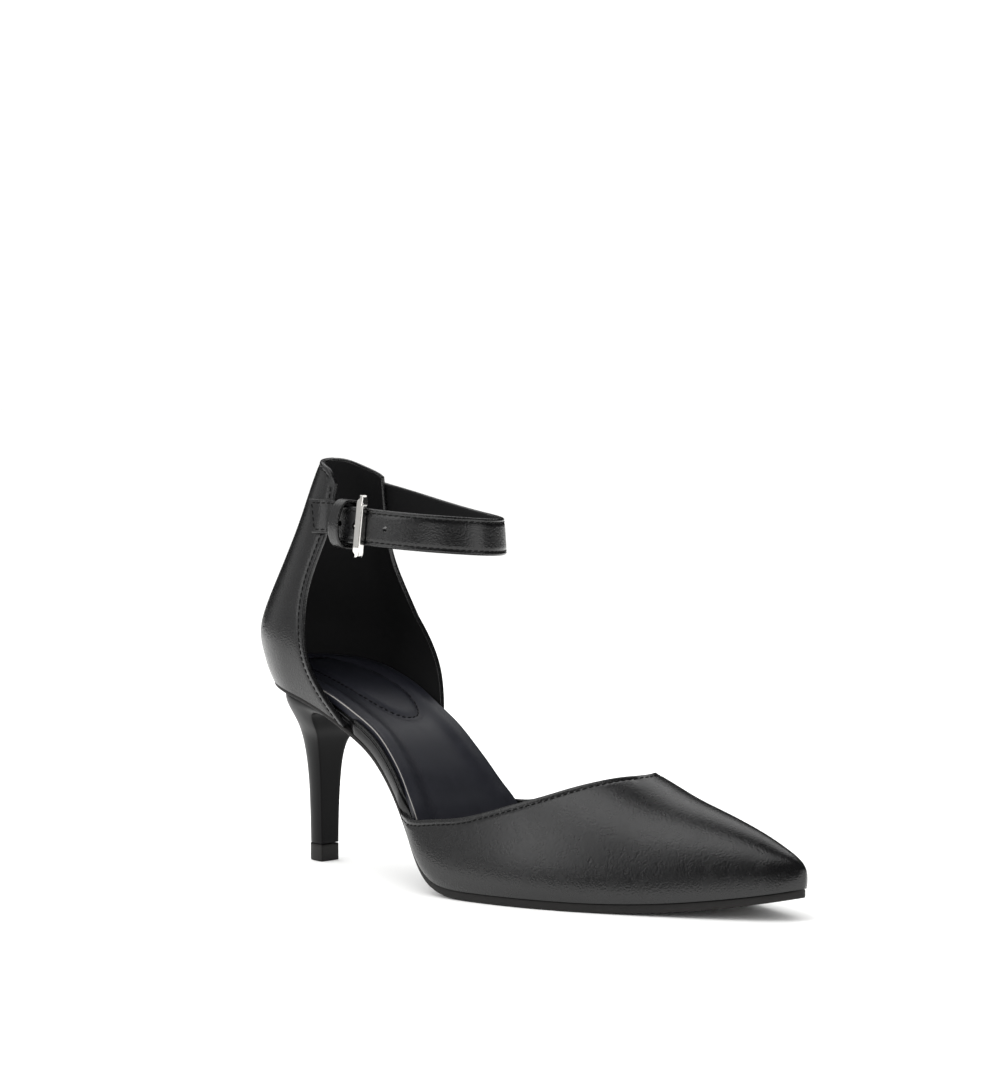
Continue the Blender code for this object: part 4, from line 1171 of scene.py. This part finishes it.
def quarter_place(u, v):
    """Turn and level of the quarter's grid: u from the outer front edge round the back, v upwards."""
    level = 1.0 - (1.0 - v) ** EDGE_CROWD
    turn = (1.0 - np.abs(1.0 - np.abs(2.0 * u - 1.0)) ** EDGE_CROWD) * np.sign(2.0 * u - 1.0)
    return turn, level


def quarter_wrap(turn, level):
    """Outer face of the quarter: turn runs from -1 on the outer front edge to 1 on the inner one."""
    back = quarter_back(level)
    points = np.zeros((3, len(turn)))
    for side, on in ((LATERAL, turn < 0), (MEDIAL, turn >= 0)):
        x = back[on] + (quarter_front[side](level[on]) - back[on]) * turn[on] ** 2
        points[:, on] = quarter_point(x, side, level[on])
    return points


class PUMP_OT_quarter(bpy.types.Operator):
    """Hollow rear upper with its stitched edges"""

    bl_idname = "pump.quarter"
    bl_label = "Quarter"

    def execute(self, context):
        inset = context.scene.pump_sizes.stitch_inset / MM

        def normals(turn, level):
            return -surface_normals(
                quarter_wrap, np.clip(turn, -TURN_MARGIN, TURN_MARGIN),
                np.clip(level, EDGE_MARGIN, 1.0 - EDGE_MARGIN), first_step=0.01)

        climb = np.linspace(*SEAM_SHARES, 90)
        round_top = np.linspace(-1.0, 1.0, 140)
        border = [
            (0.0 * climb - 1.0, climb), (round_top, 0.0 * round_top + 1.0), (0.0 * climb + 1.0, climb[::-1]),
        ]
        seams = [
            inset_path(quarter_wrap(turn, level).T, normals(turn, level), inset) for turn, level in border]
        seams[1] = seams[1][4:-4]

        def face(u, v, inside):
            turn, level = quarter_place(u, v)
            points = quarter_wrap(turn, level).T
            normal = normals(turn, level)
            sunk = 0.0 * u + QUARTER_WALL if inside else channel_depth(points, seams)
            return points - normal * sunk[:, None], normal

        sheets = []
        for inside, finish in ((False, upper_leather()), (True, lining_suede())):
            sheets.append(lay_grid(
                "quarter_leather", QUARTER_COLUMNS, QUARTER_ROWS,
                lambda u, v, inside=inside: face(u, v, inside)[0].T, [finish]))
        up = np.linspace(0.0, 1.0, QUARTER_ROWS + 1)
        across = np.linspace(0.0, 1.0, QUARTER_COLUMNS + 1)
        runs = [
            (0.0 * up, up), (across, 0.0 * across + 1.0),
            (0.0 * up + 1.0, up[::-1]), (across[::-1], 0.0 * across),
        ]
        sheets.append(folded_rim("quarter_leather", face, runs, 1))
        finish_upper("quarter", sheets, seams)
        return {"FINISHED"}


def round_slab(name, columns, rows, first, last, section, finishes, second=()):
    """A closed layer from one end of the sole to the other; section(x, t) runs once round its edge.

    The rows of faces listed in second get the second finish.
    """

    def place(u, v):
        x = (first + last) / 2 - (last - first) / 2 * np.cos(u * math.pi)
        return section(x, v)

    slab = lay_grid(name, columns, rows, place, finishes)
    for face in slab.data.polygons:
        face.material_index = int(min(face.vertices) // (columns + 1) in second)
    merge(slab, close=True)
    return slab


def ring_columns(rows, v):
    """The rows of a section's table as arrays, at shares v of the way round."""
    marks = np.linspace(0.0, 1.0, len(rows))
    return [np.interp(v, marks, [row[k] for row in rows]) for k in range(4)]


def rim_line(across, inset, left, right):
    """Y of a layer's section: across the sole from its left to its right edge, and set in from them."""
    slim = np.clip((right - left) / SLIM_WIDTH, 0.0, 1.0)
    return left + (right - left) * across + inset * slim * np.where(across < 0.5, 1.0, -1.0)


class PUMP_OT_sole(bpy.types.Operator):
    """Outsole with trimmed edges, and the insole board with its covered rim"""

    bl_idname = "pump.sole"
    bl_label = "Sole and board"

    def execute(self, context):

        def sole_section(x, v):
            across, high, inset, _ = ring_columns(SOLE_RING, v)
            low = sole_bottom(x)
            y = rim_line(across, inset, edge(x, LATERAL, SOLE_INSET), edge(x, MEDIAL, SOLE_INSET))
            return np.array([x, y, low + (layer(x, SOLE_FILL) - low) * high])

        outsole = round_slab(
            "outsole_rubber", SOLE_COLUMNS, len(SOLE_RING) - 1, SOLE_BACK + SOLE_INSET,
            SOLE_TOE - SOLE_INSET, sole_section, [sole_rubber()])
        place_piece(outsole, ["outsole"])

        def board_section(x, v):
            across, high, inset, rise = ring_columns(BOARD_RING, v)
            lateral = rim_inset(x, LATERAL)
            medial = rim_inset(x, MEDIAL)
            shown = (BOARD_INSET - np.where(across < 0.5, lateral, medial)) / (BOARD_INSET - RIM_INSET)
            y = rim_line(across, inset, edge(x, LATERAL, lateral), edge(x, MEDIAL, medial))
            return np.array([x, y, layer(x, GAP + high + RIB_RISE * rise * shown)])

        ends = BOARD_INSET + LEDGE_INSET
        pairs = zip(BOARD_RING, BOARD_RING[1:])
        ribs = [k for k, (row, following) in enumerate(pairs) if row.ribbed and following.ribbed]
        board = round_slab(
            "board_cover", SOLE_COLUMNS, len(BOARD_RING) - 1, SOLE_BACK + ends, SOLE_TOE - ends,
            board_section, [cover_leather(), ribbed_edging()], ribs)
        place_piece(board, ["insole_board"])
        return {"FINISHED"}


def pad_reach(x, y):
    """0 at the middle of the oval heel pad, 1 on its stitch line."""
    along = np.abs((x - HEEL_PAD.x) / HEEL_PAD.half_length) ** HEEL_PAD.power
    across = np.abs((y - HEEL_PAD.y) / HEEL_PAD.half_width) ** HEEL_PAD.power
    return (along + across) ** (1.0 / HEEL_PAD.power)


class PUMP_OT_sock(bpy.types.Operator):
    """Padded sock with raised edges and a stitched oval heel pad"""

    bl_idname = "pump.sock"
    bl_label = "Sock"

    def execute(self, context):
        sizes = context.scene.pump_sizes
        under = GAP + BOARD_RIM + BOARD_LEDGE + GAP

        def section(x, v):
            top = v < SOCK_TOP_SHARE
            share = np.sin((1.0 - 2.0 * v / SOCK_TOP_SHARE) * math.pi / 2)
            back = 2.0 * (v - SOCK_TOP_SHARE) / (1.0 - SOCK_TOP_SHARE) - 1.0
            share = np.where(top, share, back)
            left = edge(x, LATERAL, sock_inset(x))
            right = edge(x, MEDIAL, sock_inset(x))
            y = left + (right - left) * (share + 1.0) / 2
            wide = np.clip((right - left) / SOCK_DIP_WIDTH, 0.0, 1.0)
            inward = (1.0 - np.abs(share)) * (right - left) / 2
            crest = CREST_RISE * wide * np.exp(-((inward - CREST_IN) / CREST_WIDTH) ** 2)
            reach = pad_reach(x, y)
            shoulder = np.sqrt(np.clip(1.0 - reach ** PAD_SHOULDER, 0.0, 1.0))
            pad = sizes.pad_rise / MM * shoulder * (1.0 - PAD_CROWN * reach ** 2)
            pad = pad - PAD_GROOVE * np.exp(-((reach - 1.0) * HEEL_PAD.half_width / PAD_GROOVE_WIDTH) ** 2)
            roll = (1.0 - np.clip(1.0 - inward / SOCK_ROLL, 0.0, 1.0) ** SOCK_SQUARE) ** (1.0 / SOCK_SQUARE)
            dip = SOCK_EDGE * wide * (1.0 - share ** SOCK_DIP_POWER)
            high = (SOCK + SOCK_EDGE - dip + crest + pad) * roll
            return np.array([x, y, layer(x, under + np.where(top, high, 0.0))])

        toe = SOLE_TOE - TOE_SOCK_INSET - SOCK_TOE_SHORT
        over = round(SOCK_ROWS * SOCK_TOP_SHARE)
        # The second finish paints one row along the sock's edge light grey: a painted highlight on its top
        # edge.
        sock = round_slab(
            "sock_pad", SOCK_COLUMNS, SOCK_ROWS, SOLE_BACK + SEAT_SOCK_INSET, toe, section,
            [sock_leather(), edge_highlight_paint()], (HIGHLIGHT_ROW, over - 1 - HIGHLIGHT_ROW))
        place_piece(sock, ["sock"], angle=ROUND_ANGLE)
        turn = np.linspace(0.0, 2 * math.pi, 160)
        power = 2.0 / HEEL_PAD.power
        x = HEEL_PAD.x + HEEL_PAD.half_length * np.sign(np.cos(turn)) * np.abs(np.cos(turn)) ** power
        y = HEEL_PAD.y + HEEL_PAD.half_width * np.sign(np.sin(turn)) * np.abs(np.sin(turn)) ** power
        oval = np.array([x, y, layer(x, under + SOCK)]).T
        sew("sock_stitches", sock, [oval])
        return {"FINISHED"}


def heel_column(name):
    """A column of the heel's table by row number, with the seat's row first."""
    rows = [HEEL_TOP] + HEEL
    return spline(np.arange(len(rows)), [getattr(row, name) for row in rows])


def heel_section(row, v, height):
    """Round the D-shaped plan: the round back for v up to BREAST_SHARE, then the straight breast."""
    back, breast, half, fullness = row
    turn = np.clip(v / BREAST_SHARE, 0.0, 1.0) * math.pi
    power = 2.0 / fullness
    straight = v >= BREAST_SHARE
    cosine = np.where(straight, 2.0 * (v - BREAST_SHARE) / (1.0 - BREAST_SHARE) - 1.0, np.cos(turn))
    x = breast - (breast - back) * np.where(straight, 0.0, np.abs(np.sin(turn)) ** power)
    y = -half * np.where(straight, cosine, np.sign(cosine) * np.abs(cosine) ** power)
    return np.array([x, y, height(x)])


class PUMP_OT_heel(bpy.types.Operator):
    """Covered heel and its top piece"""

    bl_idname = "pump.heel"
    bl_label = "Heel"

    def execute(self, context):
        names = ("back", "breast", "half", "fullness", "follow")
        back, breast, half, fullness, follow = (heel_column(name) for name in names)
        count = len(HEEL)
        steps = np.arange(1, count + 1)
        back_z = spline(steps, [row.back_z for row in HEEL])
        breast_z = spline(steps, [row.breast_z for row in HEEL])

        def cover(u, v):
            row = u * count
            low = np.maximum(row, 1.0)
            lip = HEEL_LIP * np.exp(-((row - LIP_ROW) / LIP_ROWS) ** 2)
            shape = (back(row) - lip, breast(row) + lip, half(row) + lip, fullness(row))

            def height(x):
                share = (x - back(low)) / (breast(low) - back(low))
                ends = sole_bottom(back(low)) * (1.0 - share) + sole_bottom(breast(low)) * share
                sloped = back_z(low) * (1.0 - share) + breast_z(low) * share
                sloped = sloped + follow(low) * (sole_bottom(x) - ends)
                seat = sole_bottom(x) - GAP
                return np.where(row < 1.0, seat * (1.0 - row) + sloped * row, sloped)

            return heel_section(shape, v, height)

        heel = lay_grid("heel_cover", *HEEL_GRID, cover, [heel_leather()])
        merge(heel, close=True)
        soften(heel, 0.5, 3)
        place_piece(heel, ["heel"])

        tip = HEEL[-1]

        def block(u, v):
            grow = TOP_PIECE_GROW + 0.0 * u
            shape = (tip.back - grow, tip.breast + grow, tip.half + grow, tip.fullness + 0.0 * u)
            return heel_section(shape, v, lambda x: TOP_PIECE_HEIGHT * u)

        top_piece = lay_grid("top_piece_rubber", *TOP_PIECE_GRID, block, [sole_rubber()])
        merge(top_piece, close=True)
        soften(top_piece, 0.35, 2)
        place_piece(top_piece, ["top_piece"])
        return {"FINISHED"}


def band_ring(v, half_thick, half_high, roll, pinch=0.0, inset=2.0):
    """Outward and upward offsets once round a band: outer face, then inner face, with rolled edges."""
    outer = v < 0.5
    share = np.where(outer, 4.0 * v - 1.0, 3.0 - 4.0 * v)
    up = half_high * np.sin(share * math.pi / 2)
    beyond = np.clip((np.abs(up) - (half_high - roll)) / roll, 0.0, 1.0)
    thick = half_thick * np.sqrt(np.maximum(1.0 - beyond ** 2, 0.0))
    sunk = pinch * np.exp(-((np.abs(up) - half_high + inset) / CHANNEL_WIDTH) ** 2)
    return np.where(outer, thick - sunk, -thick), up


def sweep(name, columns, rows, frames, ring, finishes, loop=False):
    """A band along frames(u) = place, outward, upward arrays; ring(u, v) gives its offsets."""
    marks = np.linspace(0.0, 1.0, columns + 1)
    place, out, high = (np.array(part) for part in zip(*[frames(mark) for mark in marks]))

    def lay(u, v):
        k = np.rint(u * columns).astype(int)
        a, b = ring(u, v)
        return (place[k] + out[k] * a[:, None] + high[k] * b[:, None]).T

    band = lay_grid(name, columns, rows, lay, finishes)
    merge(band, close=not loop)
    return band


def cut_away(item, cutter):
    """Cut one object out of another, and take the cutter away."""
    change(item, "BOOLEAN", operation="DIFFERENCE", solver="EXACT", object=cutter)
    bpy.data.objects.remove(cutter)


def punch(item, holes):
    """Round holes through a band: each is a place, an axis and a radius."""
    for place, axis, radius in holes:
        select_only()
        bpy.ops.mesh.primitive_cylinder_add(vertices=24, radius=radius * MM, depth=STRAP_THICK * 3 * MM)
        cutter = bpy.context.object
        across = unit(np.cross(axis, (0.0, 0.0, 1.0)))
        turn = np.array([across, np.cross(axis, across), axis])
        set_points(cutter, points_of(cutter) @ turn + to_world(place))
        cut_away(item, cutter)


def line_inner_face(item, middle):
    """Give the faces that look to the middle of the strap's loop the lining."""
    middle = to_world(middle)
    for face in item.data.polygons:
        inward = middle - np.array(face.center)
        inward[2] = 0.0
        face.material_index = int(np.dot(np.array(face.normal), unit(inward)) > LINED_SHARE)


class PUMP_OT_strap(bpy.types.Operator):
    """Ankle strap with rolled edges, stitches and punched holes"""

    bl_idname = "pump.strap"
    bl_label = "Ankle strap"

    def execute(self, context):
        sizes = context.scene.pump_sizes
        route = strap_route()
        bar = route.find_x(BAR_X)

        def frames(u):
            place, _, out, high = route.at(u * route.length)
            return place, out, high

        def ring(u, v):
            a, b = band_ring(
                v, STRAP_THICK / 2, STRAP_WIDTH / 2, STRAP_ROLL, sizes.channel / MM, STRAP_STITCH_INSET)
            tip = closing(u * route.length, route.length - STRAP_TIP, route.length)
            return a, b * (TIP_SHARE + (1.0 - TIP_SHARE) * tip)

        strap = sweep("ankle_strap_leather", *STRAP_GRID, frames, ring, [upper_leather(), lining_suede()])
        holes = [(route.find_x(x), HOLE_DIAMETER / 2) for x in OPEN_HOLES]
        holes.append((bar - PRONG_HOLE_AHEAD, PRONG_HOLE))
        punch(strap, [(route.at(s)[0], route.at(s)[2], radius) for s, radius in holes])
        line_inner_face(strap, STRAP_MIDDLE)
        place_piece(strap, ["ankle_strap"])
        inset = STRAP_WIDTH / 2 - STRAP_STITCH_INSET
        seams = []
        for hand in (-1, 1):
            line = []
            for s in np.linspace(STRAP_SEAM_ENDS[0], route.length - STRAP_TIP - STRAP_SEAM_ENDS[1], 200):
                place, _, out, high = route.at(s)
                line.append(place + out * STRAP_THICK / 2 + high * hand * inset)
            seams.append(np.array(line))
        sew("ankle_strap_stitches", strap, seams)
        return {"FINISHED"}


def tab_frames(route, bar):
    """The tab's path: folded-back layer, fold round the heel bar, then along the quarter."""
    outer = -(STRAP_THICK / 2 + GAP + TAB_THICK / 2)
    fold = BAR_RADIUS + GAP + TAB_THICK / 2
    hub = route.offset(bar, outer - fold)
    _, along, out, high = route.at(bar)
    path = []
    for behind in np.linspace(*TAB_RETURN, TAB_BACK_POINTS):
        close = float(ease(behind, *TAB_CLOSE))
        sink = outer - 2 * fold + (2 * fold - TAB_THICK - GAP) * close
        _, _, here_out, here_high = route.at(bar + behind)
        path.append((route.offset(bar + behind, sink), -here_out, here_high))
    for turn in np.linspace(math.pi, 0.0, TAB_FOLD_POINTS):
        ray = out * math.cos(turn) - along * math.sin(turn)
        path.append((hub + ray * fold, ray, high))
    points = [route.offset(bar + behind, outer) for behind in TAB_LEAD]
    leans = [float(route.lean(bar))] * len(points)
    height = float(route.axes[2](bar)) + TAB_RISE
    for x in TAB_STATIONS:
        place, lean = on_quarter(x, height, LATERAL, LAP_GAP + TAB_THICK / 2)
        points.append(place)
        leans.append(lean)
    lead = Route(points, leans)
    for s in np.linspace(0.0, lead.length, TAB_LEAD_POINTS)[1:]:
        place, back, here_out, here_high = lead.at(s)
        slant = TAB_SKEW * float(ease(s, lead.length / 2, lead.length))
        path.append((place, here_out, here_high + back * slant))
    return path


class PUMP_OT_buckle(bpy.types.Operator):
    """Folded tab, keeper loop, and the metal frame and prong"""

    bl_idname = "pump.buckle"
    bl_label = "Buckle"

    def execute(self, context):
        route = strap_route()
        bar = route.find_x(BAR_X)
        self.tab(route, bar)
        self.keeper(route, bar)
        self.metal(route, bar)
        return {"FINISHED"}

    def tab(self, route, bar):
        path = tab_frames(route, bar)
        columns = len(path) - 1

        def frames(u):
            return path[int(round(u * columns))]

        def ring(u, v):
            return band_ring(v, TAB_THICK / 2, TAB_WIDTH / 2, BAND_ROLL)

        tab = sweep("buckle_tab_leather", columns, TAB_ROWS, frames, ring, [upper_leather()])
        _, along, out, high = route.at(bar)
        fold = BAR_RADIUS + GAP + TAB_THICK / 2
        select_only()
        bpy.ops.mesh.primitive_cube_add(size=2.0)
        slot = bpy.context.object
        reach = fold + TAB_THICK
        sides = np.array([along * reach, out * reach, high * PRONG_SLOT / 2]) * MM
        hub = route.offset(bar, -(STRAP_THICK / 2 + GAP + TAB_THICK / 2) - fold)
        set_points(slot, points_of(slot) @ sides + to_world(hub))
        cut_away(tab, slot)
        place_piece(tab, ["buckle_tab"])
        edge_high = TAB_WIDTH / 2 - TAB_STITCH_INSET
        lead = path[TAB_BACK_POINTS + TAB_FOLD_POINTS + TAB_SEAM_START:]
        top = [place + ray * TAB_THICK / 2 + up * edge_high for place, ray, up in lead]
        low = [place + ray * TAB_THICK / 2 - up * edge_high for place, ray, up in lead]
        place, ray, up = lead[-1]
        last_step = place - lead[-2][0]
        back = unit(last_step) * TAB_STITCH_INSET
        face = place + ray * TAB_THICK / 2 - back
        end = [face + up * edge_high * share for share in np.linspace(-0.96, 0.96, 9)]
        short = int(TAB_STITCH_INSET / np.linalg.norm(last_step)) + 1
        sew("buckle_tab_stitches", tab, [top[:-short], low[:-short], end])

    def keeper(self, route, bar):
        middle = bar + KEEPER_BACK
        place, along, out, high = route.at(middle)

        def reach(turn):
            power = 1.0 if math.cos(turn) > 0 else KEEPER_SQUARE
            far = KEEPER_PROUD if math.cos(turn) > 0 else KEEPER_INSIDE
            a = far * math.copysign(abs(math.cos(turn)) ** power, math.cos(turn))
            b = KEEPER_HALF_HEIGHT * math.copysign(abs(math.sin(turn)) ** power, math.sin(turn))
            return np.array([a, b])

        def frames(u):
            turn = 2 * math.pi * u
            ahead = unit(reach(turn + 0.06) - reach(turn - 0.06))
            here = reach(turn)
            return place + out * here[0] + high * here[1], out * ahead[1] - high * ahead[0], along

        def ring(u, v):
            return band_ring(v, KEEPER_THICK / 2, KEEPER_BAND / 2, BAND_ROLL)

        keeper = sweep("keeper_loop_leather", *KEEPER_GRID, frames, ring, [upper_leather()], loop=True)
        place_piece(keeper, ["keeper_loop"])

    def metal(self, route, bar):
        _, along, out, high = route.at(bar)
        hub_out = -(STRAP_THICK / 2 + 2 * GAP + TAB_THICK + BAR_RADIUS)
        front_out = STRAP_THICK / 2 + GAP + FRONT_BAR_DEEP
        hub = route.offset(bar, hub_out)
        forward = route.offset(bar - FRAME_LENGTH, front_out) - hub
        length = np.linalg.norm(forward)
        forward = forward / length
        sideways = np.cross(forward, high)
        far = length - CORNER
        top = FRAME_HALF_HEIGHT - CORNER
        path = []
        for a, b, degrees in ((CORNER, -top, 180), (far, -top, 270), (far, top, 0), (CORNER, top, 90)):
            for turn in np.radians(degrees + np.linspace(0.0, 90.0, CORNER_POINTS)):
                ray = np.array([math.cos(turn), math.sin(turn)])
                path.append((a + CORNER * ray[0], b + CORNER * ray[1], ray))
        path.append(path[0])
        columns = len(path) - 1
        front_along = -route.at(bar - FRAME_LENGTH)[1]
        front_turn = math.atan2(np.dot(sideways, front_along), np.dot(forward, front_along))
        widen = np.array([float(ease(a / length, *FRONT_BAR_BLEND)) for a, _, _ in path])

        def frames(u):
            a, b, ray = path[int(round(u * columns))]
            normal = forward * ray[0] + high * ray[1]
            turn = front_turn * float(ease(ray[0], *FRONT_BAR_TWIST))
            flat = normal * math.cos(turn) + sideways * math.sin(turn)
            face = sideways * math.cos(turn) - normal * math.sin(turn)
            return hub + forward * a + high * b, flat, face

        def ring(u, v):
            share = widen[np.rint(u * columns).astype(int)]
            power = 1.0 + (FRONT_BAR_POWER - 1.0) * share
            wide = BAR_RADIUS + (FRONT_BAR_WIDE - BAR_RADIUS) * share
            deep = BAR_RADIUS + (FRONT_BAR_DEEP - BAR_RADIUS) * share
            c = np.cos(2 * math.pi * v)
            s = np.sin(2 * math.pi * v)
            return wide * np.sign(c) * np.abs(c) ** power, deep * np.sign(s) * np.abs(s) ** power

        buckle = sweep(
            "buckle_frame_metal", columns, FRAME_ROWS, frames, ring, [polished_nickel()], loop=True)
        place_piece(buckle, ["buckle_frame"], angle=ROUND_ANGLE)

        wrap = BAR_RADIUS + GAP + PRONG_RADIUS
        points = []
        for turn in np.linspace(-math.radians(PRONG_WRAP), 0.0, CORNER_POINTS):
            points.append(hub + (out * math.cos(turn) + along * math.sin(turn)) * wrap)
        for row in PRONG:
            points.append(route.offset(bar - row.ahead, row.outward))
        line = Route(points, [0.0] * len(points))

        def prong_frames(u):
            s = u * line.length
            centre = np.array([axis(s) for axis in line.axes], float)
            ahead = unit(np.array([axis(s + 0.1) - axis(s - 0.1) for axis in line.axes], float))
            other = unit(np.cross(ahead, high))
            return centre, other, np.cross(other, ahead)

        def prong_ring(u, v):
            left = (1.0 - u) * line.length
            size = PRONG_RADIUS * np.sqrt(1.0 - np.clip(1.0 - left / PRONG_RADIUS, 0.0, 0.98) ** 2)
            return size * np.cos(2 * math.pi * v), size * np.sin(2 * math.pi * v)

        prong = sweep("buckle_prong_metal", *PRONG_GRID, prong_frames, prong_ring, [polished_nickel()])
        place_piece(prong, ["buckle_prong"])


def way_from(bearing, rise):
    """Direction from the shoe towards a camera or lamp; bearing 0 looks along +Y."""
    level = math.cos(rise)
    return np.array([math.sin(bearing) * level, -math.cos(bearing) * level, math.sin(rise)])


def look_at(way):
    """Rotation that points a lamp's -Z along a direction."""
    way = unit(way)
    return (math.acos(-way[2]), 0.0, math.atan2(-way[0], way[1]))


class PUMP_OT_stage(bpy.types.Operator):
    """Pale floor, soft studio light and the camera"""

    bl_idname = "pump.stage"
    bl_label = "Stage"

    def execute(self, context):
        aim = to_world(CAMERA_TARGET)
        self.floor(context)
        self.room(context.scene)
        self.lamps(context, aim)
        self.photo_camera(context, aim)
        return {"FINISHED"}

    def floor(self, context):
        select_only()
        bpy.ops.mesh.primitive_plane_add(size=FLOOR_SIZE)
        floor = context.object
        floor.name = "studio_floor"
        floor.data.materials.append(floor_paint())

    def room(self, scene):
        world = bpy.data.worlds.new("studio")
        scene.world = world
        world.use_nodes = True
        tree = world.node_tree
        pure_white = (1.0, 1.0, 1.0, 1.0)
        white = tree.nodes["Background"]
        feed(tree, white, {"Color": pure_white, "Strength": OPEN_LIGHT})
        room = node(tree, "ShaderNodeBackground", {"Color": pure_white, "Strength": MIRRORED_LIGHT})
        gloss = node(tree, "ShaderNodeLightPath").outputs["Is Glossy Ray"]
        mixed = node(
            tree, "ShaderNodeMixShader",
            {0: gloss, 1: white.outputs["Background"], 2: room.outputs["Background"]})
        feed(tree, tree.nodes["World Output"], {"Surface": mixed.outputs["Shader"]})
        scene.view_settings.view_transform = "Standard"

    def lamps(self, context, aim):
        for lamp in LAMPS:
            way = way_from(math.radians(lamp.bearing), math.radians(lamp.rise))
            bpy.ops.object.light_add(type="AREA", location=aim + way * lamp.distance * MM)
            light = context.object
            light.name = lamp.name
            light.data.shape = "RECTANGLE"
            light.data.size = lamp.width * MM
            light.data.size_y = lamp.height * MM
            light.data.energy = lamp.watts
            light.visible_camera = False
            light.rotation_euler = look_at(-way)

    def photo_camera(self, context, aim):
        way = way_from(CAMERA_AZIMUTH, CAMERA_ELEVATION)
        bpy.ops.object.camera_add(location=aim + way * CAMERA_DISTANCE * MM)
        camera = context.object
        camera.name = "photo_camera"
        camera.rotation_euler = (math.pi / 2 - CAMERA_ELEVATION, 0.0, CAMERA_AZIMUTH)
        camera.data.sensor_width = SENSOR
        camera.data.sensor_fit = "AUTO"
        camera.data.lens = CAMERA_FOCUS * SENSOR / IMAGE_HEIGHT
        camera.data.shift_x = (IMAGE_WIDTH / 2 - CAMERA_CENTRE[0]) / IMAGE_HEIGHT
        camera.data.shift_y = (CAMERA_CENTRE[1] - IMAGE_HEIGHT / 2) / IMAGE_HEIGHT
        camera.data.clip_start = CAMERA_NEAR * MM
        context.scene.camera = camera


class PUMP_PT_sidebar(bpy.types.Panel):
    """Lists the steps, sizes and colours"""

    bl_label = "D'Orsay pump"
    bl_idname = "PUMP_PT_sidebar"
    bl_space_type = "VIEW_3D"
    bl_region_type = "UI"
    bl_category = "Pump"

    def draw(self, context):
        for group in (context.scene.pump_sizes, context.scene.pump_colours):
            box = self.layout.box()
            for name in group.__annotations__:
                box.prop(group, name)
        for step in STEPS:
            self.layout.operator(step.bl_idname)


STEPS = (
    PUMP_OT_sole, PUMP_OT_sock, PUMP_OT_vamp, PUMP_OT_quarter, PUMP_OT_heel, PUMP_OT_strap, PUMP_OT_buckle,
    PUMP_OT_stage,
)
CLASSES = (PumpSizes, PumpColours, *STEPS, PUMP_PT_sidebar)


def register():
    """Add the classes, and the sizes and colours to the scene."""
    for made in CLASSES:
        bpy.utils.register_class(made)
    bpy.types.Scene.pump_sizes = bpy.props.PointerProperty(type=PumpSizes)
    bpy.types.Scene.pump_colours = bpy.props.PointerProperty(type=PumpColours)


def unregister():
    """Take them away again."""
    del bpy.types.Scene.pump_colours
    del bpy.types.Scene.pump_sizes
    for made in reversed(CLASSES):
        bpy.utils.unregister_class(made)


def main():
    """Build every piece, then set up the stage."""
    register()
    bpy.ops.pump.sole()
    bpy.ops.pump.sock()
    bpy.ops.pump.vamp()
    bpy.ops.pump.quarter()
    bpy.ops.pump.heel()
    bpy.ops.pump.strap()
    bpy.ops.pump.buckle()
    bpy.ops.pump.stage()


if __name__ == "__main__":
    main()
